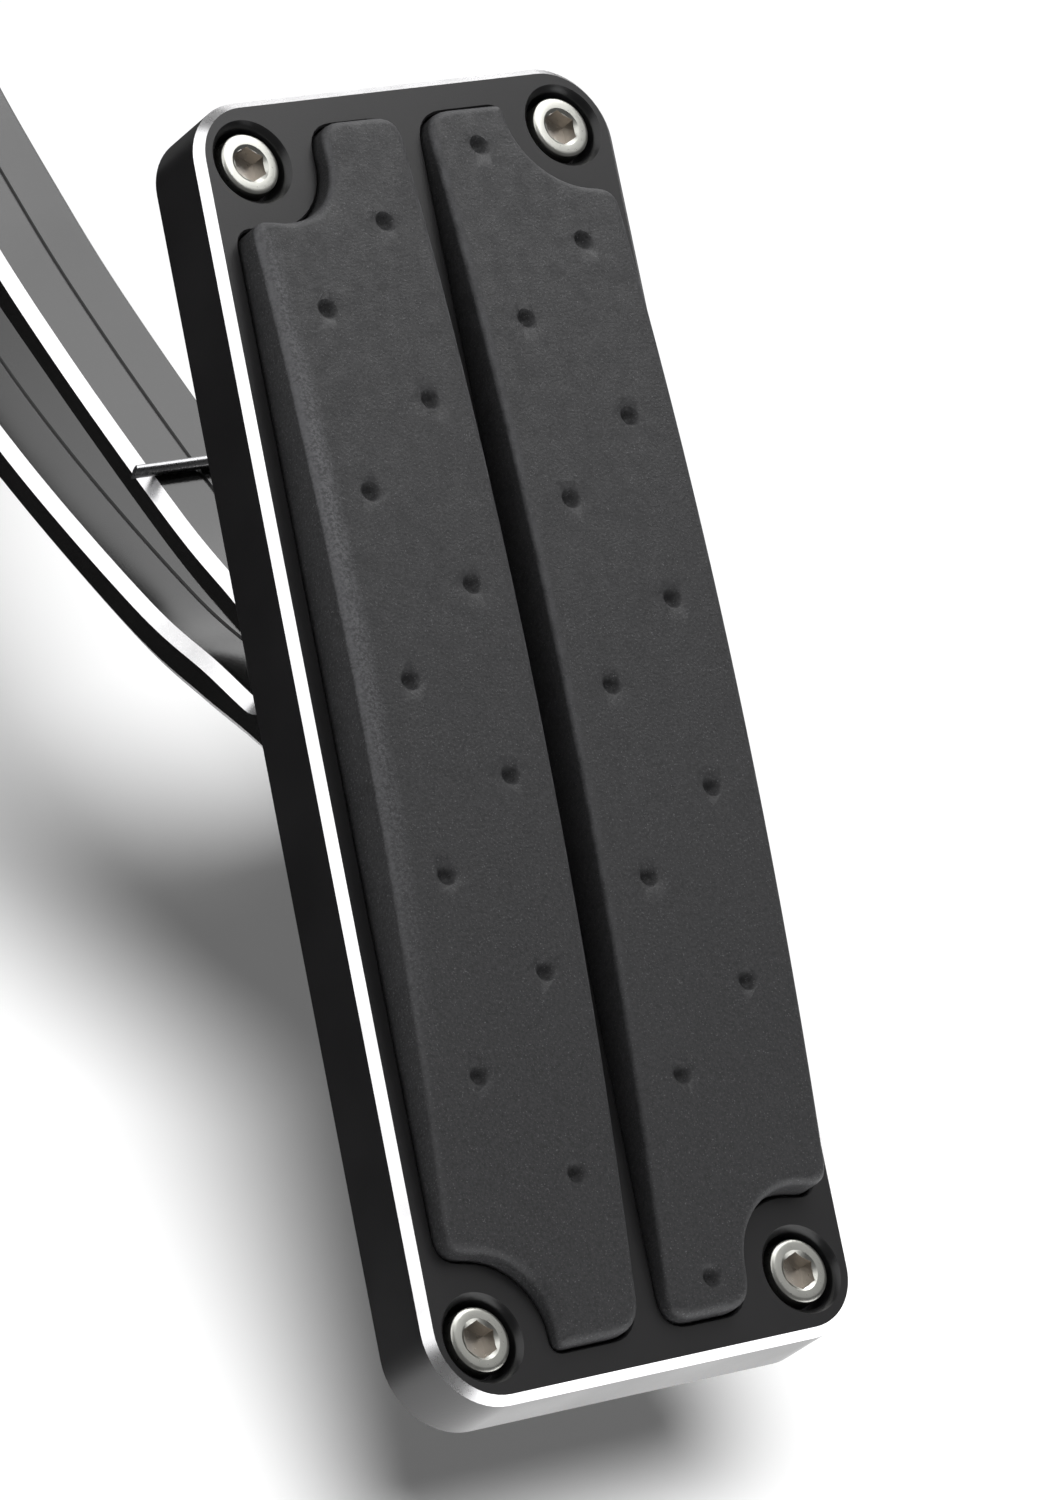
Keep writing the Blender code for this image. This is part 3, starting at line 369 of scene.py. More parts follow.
def swept(points, radius, around=14, shear=0.0):
    """Round wire through points; the first end is cut on a slant."""
    bm = bmesh.new()
    way = [Vector(p) for p in points]
    tangents = []
    for k, here in enumerate(way):
        before = way[max(k - 1, 0)]
        after = way[min(k + 1, len(way) - 1)]
        tangents.append((after - before).normalized())
    side = tangents[0].orthogonal().normalized()
    rings = []
    for k, (here, along) in enumerate(zip(way, tangents)):
        side = (side - along * side.dot(along)).normalized()
        other = along.cross(side)
        ring = []
        for n in range(around):
            a = math.tau * n / around
            out = side * math.cos(a) + other * math.sin(a)
            lean = along * (shear * math.cos(a)) if k == 0 else Vector()
            ring.append(bm.verts.new((here + out * radius + lean) * MM))
        rings.append(ring)
    for below, above in zip(rings, rings[1:]):
        for i in range(around):
            j = (i + 1) % around
            bm.faces.new((below[i], below[j], above[j], above[i]))
    bm.faces.new(rings[0][::-1])
    bm.faces.new(rings[-1])
    bmesh.ops.recalc_face_normals(bm, faces=bm.faces)
    return finished(bm)


def arc(centre, radius, start, end, steps):
    found = []
    for i in range(steps + 1):
        a = math.radians(start + (end - start) * i / steps)
        found.append((centre[0] + radius * math.cos(a), centre[1] + radius * math.sin(a)))
    return found


def grown(loop, distance):
    """An anticlockwise loop moved outwards by a distance."""
    found = []
    count = len(loop)
    for i in range(count):
        before = Vector(loop[i]) - Vector(loop[i - 1])
        after = Vector(loop[(i + 1) % count]) - Vector(loop[i])
        n1 = Vector((before.y, -before.x)).normalized()
        n2 = Vector((after.y, -after.x)).normalized()
        found.append(tuple(Vector(loop[i]) + (n1 + n2) * (distance / (1.0 + n1.dot(n2)))))
    return found


def curve(a, bend, b, steps):
    """Points from a to b on a curve that leaves and arrives in line with bend."""
    return [a * (1 - t) ** 2 + bend * (2 * t * (1 - t)) + b * t * t
            for t in [k / steps for k in range(steps + 1)]]


def wound(x, pitch, centre, radius, start, end, per_turn=40):
    """Points of a coil round an axis along X, between two angles; centre is (y, z)."""
    steps = int(per_turn * (end - start) / math.tau) + 1
    found = []
    for k in range(steps + 1):
        a = start + (end - start) * k / steps
        found.append(Vector((x + pitch * (end - start) / math.tau * k / steps,
                             centre[0] + radius * math.cos(a), centre[1] + radius * math.sin(a))))
    return found


def leaving(centre, radius, target):
    """The angle at which a straight leg to a target (y, z) leaves a coil."""
    away = Vector(target) - Vector(centre)
    return math.atan2(away.y, away.x) + math.acos(radius / away.length)


def rounded(corners, steps=8):
    """A loop from (x, y, trim) corners, each rounded off over its trim length."""
    loop = []
    count = len(corners)
    for i, (x, y, trim) in enumerate(corners):
        here = Vector((x, y))
        if trim <= 0.0:
            loop.append((x, y))
            continue
        before = Vector(corners[i - 1][:2])
        after = Vector(corners[(i + 1) % count][:2])
        a = here + (before - here).normalized() * trim
        b = here + (after - here).normalized() * trim
        loop += [tuple(point) for point in curve(a, here, b, steps)]
    return loop


# ==== outlines ============================================================================
def pad_outline(inset=0.0, steps=14):
    w = PAD_HALF_WIDTH - inset
    h = PAD_HALF_LENGTH - inset
    radius = PAD_CORNER - inset
    lean = math.degrees(LEAN_ANGLE)
    loop = []
    for sx, sy, start in ((1, -1, -90), (1, 1, 0), (-1, 1, 90), (-1, -1, 180)):
        first = start + (lean if start in (-90, 90) else 0.0)
        last = start + 90 + (lean if start in (0, 180) else 0.0)
        cx = sx * (w - radius)
        cy = sy * (h - radius / math.cos(LEAN_ANGLE)) + LEAN * cx
        loop += arc((cx, cy), radius, first, last, steps)
    return loop


def insert_outline(side):
    """The right insert's outline, or with side -1 the left's, which is the same turned round."""
    low = (SCREW_P, -SCREW_Q + LEAN * SCREW_P)
    high = (SCREW_P, SCREW_Q + LEAN * SCREW_P)
    finger = SCREW_P - NOTCH_R
    soft = 6

    def corner(before, here, after, trim):
        return rounded([(*before, 0.0), (*here, trim), (*after, 0.0)], soft)[1:-1]

    a = (INSERT_IN, -INSERT_END + LEAN * INSERT_IN)
    b = (finger, -INSERT_END + LEAN * finger)
    c = (finger, low[1])
    d = (INSERT_OUT, low[1] + NOTCH_R)
    e = (INSERT_OUT, high[1] - NOTCH_R)
    f = (finger, high[1])
    g = (finger, INSERT_END + LEAN * finger)
    h = (INSERT_IN, INSERT_END + LEAN * INSERT_IN)
    loop = corner(h, a, b, 3.6)
    loop += corner(a, b, c, min(3.0, math.dist(b, c) * 0.9))
    loop += arc(low, NOTCH_R, 180, 90, 16)
    loop += corner((low[0], d[1]), d, e, 2.6)
    loop += corner(d, e, (high[0], e[1]), 2.6)
    loop += arc(high, NOTCH_R, 270, 180, 16)
    loop += corner(f, g, h, min(2.6, math.dist(f, g) * 0.9))
    loop += corner(g, h, a, 3.6)
    return [(side * x, side * y) for x, y in loop]


def arm_at(s):
    """Y, Z, width, slot width and direction of the arm's middle line, s in stations."""
    i = min(int(s), len(ARM_STATIONS) - 2)
    t = s - i
    rows = [ARM_STATIONS[min(max(i + k, 0), len(ARM_STATIONS) - 1)] for k in (-1, 0, 1, 2)]
    found, slope = [], []
    for a, b, c, d in zip(*rows):
        p, q, r = c - a, 2 * a - 5 * b + 4 * c - d, 3 * b - a - 3 * c + d
        found.append(b + 0.5 * (p * t + q * t * t + r * t ** 3))
        slope.append(0.5 * (p + 2 * q * t + 3 * r * t * t))
    y, z, width, slot = found
    along = Vector((slope[0], slope[1])).normalized()
    return Vector((y + PAD_CENTRE[0], z + PAD_CENTRE[1])), width, slot, along


def arm_strip(first, last, count, width_of, sideways, ends):
    """A closed anticlockwise outline along the arm's middle line, with round ends."""
    front, rear = [], []
    for k in range(count + 1):
        middle, width, slot, along = arm_at(first + (last - first) * k / count)
        left = Vector((-along.y, along.x))
        half = width_of(width, slot) / 2.0
        front.append(middle + left * (sideways + half))
        rear.append(middle + left * (sideways - half))

    def round_end(start, end):
        centre = (start + end) / 2.0
        spoke = start - centre
        return [centre + Matrix.Rotation(math.pi * k / ends, 2) @ spoke for k in range(1, ends)]

    loop = rear + round_end(rear[-1], front[-1]) + front[::-1] + round_end(front[0], rear[0])
    return [tuple(p) for p in loop]


# ==== making pieces =======================================================================
def temporary(mesh, place, stuff):
    made = bpy.data.objects.new("temporary", mesh)
    for entry in stuff:
        mesh.materials.append(entry)
    bpy.context.scene.collection.objects.link(made)
    made.matrix_world = place
    return made


def piece(name, mesh, place, body, stuff, cuts=(), joins=(), keep=(), nodes=None, sharp=28.0):
    """A finished piece on a body; cuts, joins and keep are (mesh, place) pairs."""
    made = bpy.data.objects.new(name, mesh)
    bpy.context.scene.collection.objects.link(made)
    made.matrix_world = place
    for entry in stuff:
        mesh.materials.append(entry)
    helpers = []
    for group, operation in ((joins, "UNION"), (keep, "INTERSECT"), (cuts, "DIFFERENCE")):
        for other, where in group:
            helper = temporary(other, where, stuff)
            helpers.append(helper)
            modifier = made.modifiers.new(operation, "BOOLEAN")
            modifier.operation = operation
            modifier.solver = "EXACT"
            modifier.object = helper
    if helpers:
        bpy.context.view_layer.update()
        ready = made.evaluated_get(bpy.context.evaluated_depsgraph_get())
        final = bpy.data.meshes.new_from_object(ready)
        made.modifiers.clear()
        made.data = final
        for helper in helpers:
            bpy.data.objects.remove(helper, do_unlink=True)
    bm = bmesh.new()
    bm.from_mesh(made.data)
    bmesh.ops.remove_doubles(bm, verts=bm.verts, dist=2e-7)
    bmesh.ops.dissolve_degenerate(bm, edges=bm.edges, dist=1e-7)
    bm.to_mesh(made.data)
    bm.free()
    made.data.name = name
    made.data.shade_smooth()
    made.data.set_sharp_from_angle(angle=math.radians(sharp))
    if body:
        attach(made, body)
    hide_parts(*(nodes or [name]))
    return made


# ==== pad =================================================================================
def build_pad():
    plate = loft([(pad_outline(REAR_CHAMFER), -PAD_THICK),
                  (pad_outline(), -PAD_THICK + REAR_CHAMFER),
                  (pad_outline(), -PAD_CHAMFER),
                  (pad_outline(PAD_CHAMFER), 0.0)], [1, 0, 1])
    recess = loft([(pad_outline(RIM), -PAD_THICK - 2), (pad_outline(RIM), -RECESS_TOP)])
    cuts = [(recess, PAD_SIDES)]
    for side in (-1, 1):
        loop = grown(insert_outline(side), GAP)
        lip = (grown(loop, WINDOW_LIP + 0.4), 0.4)
        # the wall below the lip takes index 2, the darker black painted in as shade round the
        # inserts
        window = loft([(loop, -PAD_THICK), (loop, -WINDOW_LIP), lip], [2, 0], (2, 2))
        cuts.append((window, PAD_SIDES))
    screws = []
    backing_cuts = []
    for sx, column in ((-1, "left"), (1, "right")):
        for sy, row in ((-1, "bottom"), (1, "top")):
            p = sx * SCREW_P
            place = PAD_SIDES @ shift(p, sy * SCREW_Q + LEAN * p)
            bore = [(0, 2), (BORE_R + 2.7, 2), (BORE_R + 0.8, 0.1), (BORE_R + 0.6, -0.14),
                    (BORE_R + 0.1, -0.72), (BORE_R, -0.95), (BORE_R, -BORE_DEPTH),
                    (BORE_HOLE, -BORE_DEPTH), (BORE_HOLE, -PAD_THICK - 2), (0, -PAD_THICK - 2)]
            # index 2 paints the counterbore with the darker black as shade
            marks = [0, 0, 0, 2, 2, 2, 2, 2, 2]
            cuts.append((spun(bore, 64, marks), place))
            backing_cuts.append((spun(bore, 32, marks), place))
            screws.append((row + "_" + column, place))
    piece("pad_plate_body", plate, PAD_SIDES, "pad", [PAD_BLACK, EDGE, RECESS_SHADE_BLACK], cuts=cuts,
          nodes=["pad_plate"])
    inside = RIM + GAP
    back = loft([(pad_outline(inside + BACKING_EDGE), -PAD_THICK),
                 (pad_outline(inside), -PAD_THICK + BACKING_EDGE),
                 (pad_outline(inside), -RECESS_TOP - GAP)], [1, 0])
    for label, place in hinge_screw_places(0.0):
        backing_cuts.append((drill(HINGE_SCREW_HOLE, 0, -PAD_THICK - 2, 32), place))
    piece("backing_plate_body", back, PAD_SIDES, "pad", [BRACKET_BLACK, EDGE, RECESS_SHADE_BLACK],
          cuts=backing_cuts, nodes=["backing_plate"])
    for label, place in screws:
        cap_screw("pad_screw_" + label, place @ shift(z=-SCREW_SUNK), "pad", SCREW_HEAD,
                  SCREW_SHANK, SCREW_SOCKET, STAINLESS)


def hinge_screw_places(height):
    return [(row + "_" + column, PAD_PLANE @ shift(x, v, height))
            for column, x in HINGE_SCREWS_X.items() for row, v in HINGE_SCREWS_V.items()]


def cap_screw(name, place, body, head, shank, socket, stuff, knurl=0.0):
    """A socket-head screw; knurl is how deep the grooves round its head are."""
    r, h = head
    thin, tip = shank
    around = 72
    profile = [(0, 0), (r - 0.62, 0), (r - 0.3, -0.06), (r - 0.1, -0.2), (r, -0.45), (r, -h + 0.15),
               (r - 0.15, -h), (thin, -h), (thin, -tip + 0.5), (thin - 0.5, -tip), (0, -tip)]
    flats, depth = socket
    rim = flats / math.sqrt(3.0)
    lead = [(0, 1), (rim + 1.2, 1), (rim + 0.2, 0), (rim - 0.25, -0.3), (0, -0.3)]
    mesh = spun(profile, around)
    if knurl:
        bm = bmesh.new()
        bm.from_mesh(mesh)
        for v in bm.verts:
            radius = math.hypot(v.co.x, v.co.y)
            if radius > (r - 0.05) * MM:
                k = round(math.atan2(v.co.y, v.co.x) / math.tau * around)
                scale = 1.0 - (knurl * MM / radius if k % 2 else 0.0)
                v.co.x *= scale
                v.co.y *= scale
        bm.to_mesh(mesh)
        bm.free()
    piece(name + "_body", mesh, place, body, [stuff, SOCKET],
          cuts=[(spun(lead, 48), place), (ngon(flats, -depth, 1.0, mark=1), place)],
          nodes=[name])


def crown(q):
    """Height of an insert's top above the pad's face, q along the pad."""
    return math.sqrt(CROWN_R ** 2 - q * q) + CROWN_TOP - CROWN_R


def insert_mesh(side):
    """A crowned pad of rubber with rounded top edges, before its dimples are sunk."""
    loop = insert_outline(side)
    levels = [(loop, -INSERT_DEEP), (loop, -3.0), (loop, -INSERT_ROUND)]
    rings = 5
    for k in range(1, rings + 1):
        a = math.radians(90.0 * k / rings)
        levels.append((grown(loop, -INSERT_ROUND * (1 - math.cos(a))),
                       -INSERT_ROUND * (1 - math.sin(a))))
    mesh = loft(levels)
    bm = bmesh.new()
    bm.from_mesh(mesh)
    for k in range(-28, 29):
        bmesh.ops.bisect_plane(bm, geom=bm.verts[:] + bm.edges[:] + bm.faces[:], dist=1e-7,
                               plane_co=(0.0, (k * CUT_ALONG + 0.37) * MM, 0.0),
                               plane_no=(0, 1, 0))
    for k in range(10):
        top = [f for f in bm.faces if f.normal.z > 0.99 and abs(f.calc_center_median().z) < 1e-6]
        around = list({e for f in top for e in f.edges} | {v for f in top for v in f.verts})
        bmesh.ops.bisect_plane(bm, geom=around + top, dist=1e-7,
                               plane_co=(side * (INSERT_IN + 2.6 + k * CUT_ACROSS) * MM, 0.0, 0.0),
                               plane_no=(1, 0, 0))
    rim = bm.verts.layers.float.new("rim")
    left_edge_highlight = bm.verts.layers.float.new("left_edge_highlight")
    for v in bm.verts:
        p, q, z = (value / MM for value in v.co)
        if z > -INSERT_ROUND - 0.01:
            share = (z + INSERT_ROUND) / INSERT_ROUND
            wear_and_sheen = max(0.0, math.sin(math.pi * min(share, 1.0)) if share < 0.999 else 0.0)
            # edge lightening, partly wear and partly painted highlight, fading towards the bottom
            # of the pad
            v[rim] = wear_and_sheen * min(max((q + 75.0) / 110.0, 0.2), 1.0)
            # the left insert's outer edge gets pale painted highlight flecks, most of all above the
            # middle
            if p < INSERT_ROUND + 0.1 - INSERT_OUT and share > 0.3:
                v[left_edge_highlight] = min(max((q + 50.0) / 70.0, 0.0), max((100.0 - q) / 70.0, 0.0), 1.0)
            v.co.z += crown(q) * MM
    bm.to_mesh(mesh)
    bm.free()
    return mesh


def build_inserts():
    for side, label in ((-1, "left"), (1, "right")):
        cuts = []
        for away, up, rows in DIMPLE_COLUMNS[side]:
            for k in rows:
                q = k * DIMPLE_STEP + up
                cuts.append((spun(DIMPLE, 28), PAD_SIDES @ shift(side * away, q, crown(q))))
        piece("rubber_insert_" + label, insert_mesh(side), PAD_SIDES, "pad", [RUBBER], cuts=cuts,
              nodes=["insert_" + label], sharp=50.0)


# ==== pad hinge ===========================================================================
def build_pad_hinge():
    top = -PAD_THICK - GAP
    r = 3.0
    foot_loop = rounded([(FOOT_LEFT, -FOOT_UP, r), (FOOT_RIGHT, -FOOT_UP, r),
                         (FOOT_RIGHT, FOOT_UP, r), (FOOT_LEFT, FOOT_UP, r)])
    foot = slab(foot_loop, top - FOOT_THICK, top, 0.5, 0, 1)
    pin = (PIN_UP, -PIN_BACK)
    lug = arc(pin, LUG_R, 180, 360, 28)
    lug += [(PIN_UP + LUG_R, top - 1.0), (PIN_UP - LUG_R, top - 1.0)]
    joins = []
    for low in (LUG_LEFT, LUG_RIGHT - LUG_THICK):
        mesh = placed(slab(lug, low, low + LUG_THICK, 0.5, 0, 1), PROFILE)
        joins.append((mesh, PAD_PLANE))
    cuts = [(drill(PIN_R + GAP, 30, -30, 40), PAD_PIN @ ALONG_X)]
    for label, place in hinge_screw_places(top - FOOT_THICK):
        cuts.append((drill(HINGE_SCREW_HOLE, 8, -4, 32), place))
        button_screw("hinge_screw_" + label, place @ turn(180, "X") @ shift(z=GAP))
    piece("hinge_bracket_body", foot, PAD_PLANE, "pad", [BRACKET_BLACK, EDGE], cuts=cuts,
          joins=joins, nodes=["hinge_bracket"])

    right = LUG_RIGHT + GAP
    left = LUG_LEFT - GAP
    near, far = PIN_GROOVE
    crest = right + PIN_HEAD
    tail = left - PIN_TAIL
    body = [(0, crest), (PIN_HEAD_R - 1.1, crest), (PIN_HEAD_R - 0.4, crest - 0.2),
            (PIN_HEAD_R, crest - 0.7), (PIN_HEAD_R, right), (PIN_R, right), (PIN_R, left - near),
            (PIN_GROOVE_R, left - near), (PIN_GROOVE_R, left - far), (PIN_R, left - far),
            (PIN_R, tail + 0.6), (PIN_R - 0.6, tail), (0, tail)]
    piece("pad_pin_body", spun(body, 40), PAD_PIN @ ALONG_X, "pad", [BRIGHT_ZINC],
          nodes=["pad_pin"])
    snap_ring("pad_pin_clip", PAD_PIN @ shift(left - (near + far) / 2.0), 2.6, 5.4, 0.8, "pad")
    tube("pad_pin_spacer", PAD_PIN, PIN_SPACER_FROM, LUG_RIGHT - LUG_THICK - GAP, PIN_R + GAP,
         PIN_SPACER_R, BRIGHT_ZINC, "pad")


def button_screw(name, place):
    """A button-head screw: a dome over a plain shank."""
    dome = arc((0.0, -3.6), 5.8, 72, 49, 8)
    profile = [(0, 2.05), (1.6, 2.0)] + dome + [(3.75, 0), (1.9, 0), (1.9, -6.2), (0, -6.2)]
    piece(name + "_body", spun(profile, 48), place, "pad", [STAINLESS, SOCKET],
          cuts=[(ngon(2.4, 0.7, 4.0, mark=1), place)], nodes=[name])


def tube(name, place, low, high, inner, outer, stuff, body, flange=None):
    """A tube along X; a flange is (radius, thickness) and sits beyond the high end."""
    e = 0.2
    profile = [(inner, high), (outer - e, high), (outer, high - e), (outer, low + e),
               (outer - e, low), (inner, low)]
    if flange:
        r, t = flange
        profile = [(inner + e, high + t), (r - e, high + t), (r, high + t - e), (r, high),
                   (outer, high), (outer, low), (inner, low), (inner, high + t - e)]
    piece(name + "_body", spun(profile, 48, closed=True), place @ ALONG_X, body, [stuff],
          nodes=[name])


def snap_ring(name, place, inner, outer, thick, body):
    """An open ring of flat steel round a groove."""
    outside = arc((0, 0), outer, 25, 335, 44)
    inside = arc((0, 0), inner, 335, 25, 36)
    mesh = slab(outside + inside, -thick / 2.0, thick / 2.0)
    piece(name + "_body", mesh, place @ PROFILE, body, [SPRING], nodes=[name])


def build_pad_spring():
    """A coil on the pin, a leg across the front of the arm, and a leg up the pad's back."""
    centre = PAD_PIN.translation / MM
    up_pad = Vector((0, math.cos(PAD_SLOPE), math.sin(PAD_SLOPE)))
    out = Vector((0, -math.sin(PAD_SLOPE), math.cos(PAD_SLOPE)))
    middle, width, _, along = arm_at(3.25)
    rest = middle + Vector((-along.y, along.x)) * (width / 2.0 + 0.95)
    arm_leg = Vector((0, rest.x, rest.y))
    pad_leg = up_pad * 40.0 - out * (PAD_THICK + 1.1) + Vector((0, *PAD_CENTRE))
    start = leaving(centre.yz, PAD_COIL_R, arm_leg.yz)
    end = leaving(centre.yz, PAD_COIL_R, pad_leg.yz) + math.tau * 2
    coil = wound(PAD_COIL_X, 1.75, centre.yz, PAD_COIL_R, start, end)
    bend = Vector((PAD_COIL_X, *arm_leg.yz))
    straight = [Vector((x, *arm_leg.yz)) for x in (-9.9, -5.0, 0.0, 4.0, 7.9)]
    curl = curve(straight[-1], bend, bend + (coil[0] - bend).normalized() * 2.2, 8)[1:]
    leg = [curl[-1].lerp(coil[0], k / 6) for k in range(1, 6)]
    far = [coil[-1].lerp(Vector((coil[-1].x, *pad_leg.yz)), k / 6) for k in range(1, 7)]
    made = piece("pad_spring_wire", swept(straight + curl + leg + coil + far, PAD_WIRE_R, 16, 0.55),
                 HERE, None, [SPRING], nodes=["pad_spring"], sharp=40.0)
    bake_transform(made)


# ==== arm =================================================================================
def build_arm():
    last = len(ARM_STATIONS) - 1
    outline = arm_strip(0, last, last * 12, lambda w, slot: w, 0.0, 20)
    slot = arm_strip(SLOT_FROM, SLOT_TO, 84, lambda w, slot: slot, SLOT_SHIFT, 14)
    half = ARM_THICK / 2.0
    rim = half - ARM_CHAMFER
    small = grown(outline, -ARM_CHAMFER)
    sunk = grown(outline, -GROOVE_DEPTH)
    # index 2 paints the middle groove with the darker black as shade, here and in the slot's
    # opening
    mesh = loft([(small, -half), (outline, -rim), (outline, -GROOVE_HALF), (sunk, -GROOVE_FLOOR),
                 (sunk, GROOVE_FLOOR), (outline, GROOVE_HALF), (outline, rim), (small, half)],
                [1, 0, 2, 2, 2, 0, 1])
    mesh.transform(PROFILE)
    wide = grown(slot, ARM_CHAMFER + 0.5)
    deep = grown(slot, GROOVE_DEPTH)
    opening = loft([(wide, -half - 0.5), (slot, -rim), (slot, -GROOVE_HALF), (deep, -GROOVE_FLOOR),
                    (deep, GROOVE_FLOOR), (slot, GROOVE_HALF), (slot, rim), (wide, half + 0.5)],
                   [1, 3, 2, 2, 2, 3, 1])
    opening.transform(PROFILE)
    cuts = [(opening, HERE)]
    edge = 0.5
    for place, bore in ((PIVOT_AT, ARM_BORE), (PAD_PIN, EYE_BORE), (CABLE_AT, CABLE_BORE)):
        r = bore / 2.0
        hole = [(0, 12), (r + 4.5, 12), (r + edge, half), (r, half - edge), (r, edge - half),
                (r + edge, -half), (r + 4.5, -12), (0, -12)]
        cuts.append((spun(hole, 56, [1, 1, 1, 0, 1, 1, 1]), place @ ALONG_X))
    piece("arm_billet", mesh, HERE, "arm", [ARM_BLACK, EDGE, RECESS_SHADE_BLACK, SLOT_BLACK], cuts=cuts,
          nodes=["arm"])
    for side, label in ((0, "right"), (180, "left")):
        end = half + GAP
        tube("pivot_bush_" + label, PIVOT_AT @ turn(side, "Z"), GAP, end, BOLT_R + GAP,
             ARM_BORE / 2.0 - GAP, BRONZE, "arm", flange=PIVOT_FLANGE)
        tube("eye_bush_" + label, PAD_PIN @ turn(side, "Z"), GAP, end, PIN_R + GAP,
             EYE_BORE / 2.0 - GAP, BRONZE, "arm", flange=EYE_FLANGE)


# ==== bracket and pivot ===================================================================
def build_bracket():
    r = BRACKET_CORNER
    loop = rounded([(-BASE_HALF, BASE_BOTTOM, r), (BASE_HALF, BASE_BOTTOM, r),
                    (BASE_HALF, BASE_TOP, r), (-BASE_HALF, BASE_TOP, r)])
    base = slab(loop, 0.0, BASE_THICK, BRACKET_EDGE, 0, 1)
    root_y = -BASE_THICK + 2.0
    cheek = [(root_y, -24.0), (root_y, 20.0)] + arc(PIVOT, CHEEK_R, 80, 280, 36)
    joins = []
    for low in (CHEEK_IN, -CHEEK_OUT):
        mesh = slab(cheek, low, low + CHEEK_OUT - CHEEK_IN, BRACKET_EDGE, 0, 1)
        joins.append((placed(mesh, PROFILE), HERE))
    cuts = [(drill(BOLT_R + GAP, 40, -40, 48), PIVOT_AT @ ALONG_X)]
    for x, z in MOUNT_HOLES:
        hole = [(0, 9), (8.5, 9), (6.9, BASE_THICK), (6.5, BASE_THICK - 0.4), (6.5, 3.5),
                (3.4, 3.5), (3.4, -2), (0, -2)]
        cuts.append((spun(hole, 48, [1, 1, 1, 0, 0, 0, 0]), UPRIGHT @ shift(x, z)))
    for name, (z, tip) in (("idle", IDLE_STOP), ("full", FULL_STOP)):
        place = UPRIGHT @ shift(0, z)
        cuts.append((drill(STOP_HOLE, 9, -2, 32), place))
        stop_screw(name + "_stop_screw", place @ turn(180, "X"), tip)
        hex_nut(name + "_stop_nut", place @ shift(z=BASE_THICK + GAP), 10.0, 4.0, STOP_HOLE)
    piece("pivot_bracket_body", base, UPRIGHT, "root", [BRACKET_BLACK, EDGE], cuts=cuts,
          joins=joins, nodes=["pivot_bracket"])


def stop_screw(name, place, tip):
    """A threaded stop screw with a socket at its outer end and a plain chamfered tip."""
    root = STOP_R - 0.32
    profile = [(0, 0.5), (STOP_R - 0.4, 0.5), (STOP_R, 0.1)]
    z = -1.0
    while z > tip + 2.2:
        profile += [(STOP_R, z), (root, z - 0.25), (root, z - 0.35), (STOP_R, z - 0.6)]
        z -= 0.8
    profile += [(STOP_R, tip + 0.8), (STOP_R - 0.8, tip), (0, tip)]
    piece(name + "_body", spun(profile, 40), place, "root", [BRIGHT_ZINC, SOCKET],
          cuts=[(ngon(3.0, -3.5, 2.0, mark=1), place)], nodes=[name])


def hex_nut(name, place, flats, height, bore):
    """A chamfered hexagon nut standing on local z = 0."""
    r = flats / 2.0
    corner = flats / math.sqrt(3.0)
    slope = (corner - r) * 0.6
    keep = [(0, height), (r - 0.1, height), (corner + 0.2, height - slope), (corner + 0.2, slope),
            (r - 0.1, 0), (0, 0)]
    hole = [(0, height + 1), (bore + 1.5, height + 1), (bore + 0.02, height - 0.48), (bore, 0.48),
            (bore + 1.5, -1), (0, -1)]
    piece(name + "_body", ngon(flats, 0.0, height), place, "root", [BRIGHT_ZINC],
          keep=[(spun(keep, 64), place)], cuts=[(spun(hole, 48), place)], nodes=[name])


def build_pivot():
    outside = CHEEK_OUT + GAP
    for side, label in ((0, "right"), (180, "left")):
        at = PIVOT_AT @ turn(side, "Z")
        tube("pivot_washer_" + label, at, outside, outside + WASHER, BOLT_R + GAP, WASHER_R,
             BRIGHT_ZINC, "root")
        tube("spring_spacer_" + label, at, SPRING_SPACER_FROM, CHEEK_IN - GAP, BOLT_R + GAP,
             SPRING_SPACER_R, BRIGHT_ZINC, "root")
    seat = outside + WASHER + GAP
    head = 7.0
    cap_screw("pivot_bolt", PIVOT_AT @ ALONG_X @ turn(180, "X") @ shift(z=seat + head), "root",
              (8.0, head), (BOLT_R, head + 2 * seat + 10.5), (6.0, 4.0), BRIGHT_ZINC, knurl=0.16)
    hex_nut("pivot_nut", PIVOT_AT @ ALONG_X @ shift(z=seat), 15.0, 9.0, BOLT_R + GAP)


def build_return_spring():
    """Two coils on the spacers, joined by a bridge behind the arm, legs on the base plate."""
    start = leaving(PIVOT, COIL_R, BRIDGE)
    coil = wound(COIL_X, 2.75, PIVOT, COIL_R, start, math.radians(90) + math.tau * 3)
    foot = Vector((coil[-1].x, -BASE_THICK - COIL_WIRE_R - GAP, coil[-1].z))
    bend = Vector((COIL_X, *BRIDGE))
    b = bend + (coil[0] - bend).normalized() * 2.8
    half = [Vector((4.0, *BRIDGE))] + curve(Vector((8.6, *BRIDGE)), bend, b, 8)
    half += [b.lerp(coil[0], k / 6) for k in range(1, 6)] + coil
    half += [coil[-1].lerp(foot, k / 5) for k in range(1, 6)]
    mirrored = [Vector((-p.x, p.y, p.z)) for p in half]
    made = piece("return_spring_wire", swept(mirrored[::-1] + half, COIL_WIRE_R, 16), HERE, None,
                 [SPRING], nodes=["return_spring"], sharp=40.0)
    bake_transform(made)


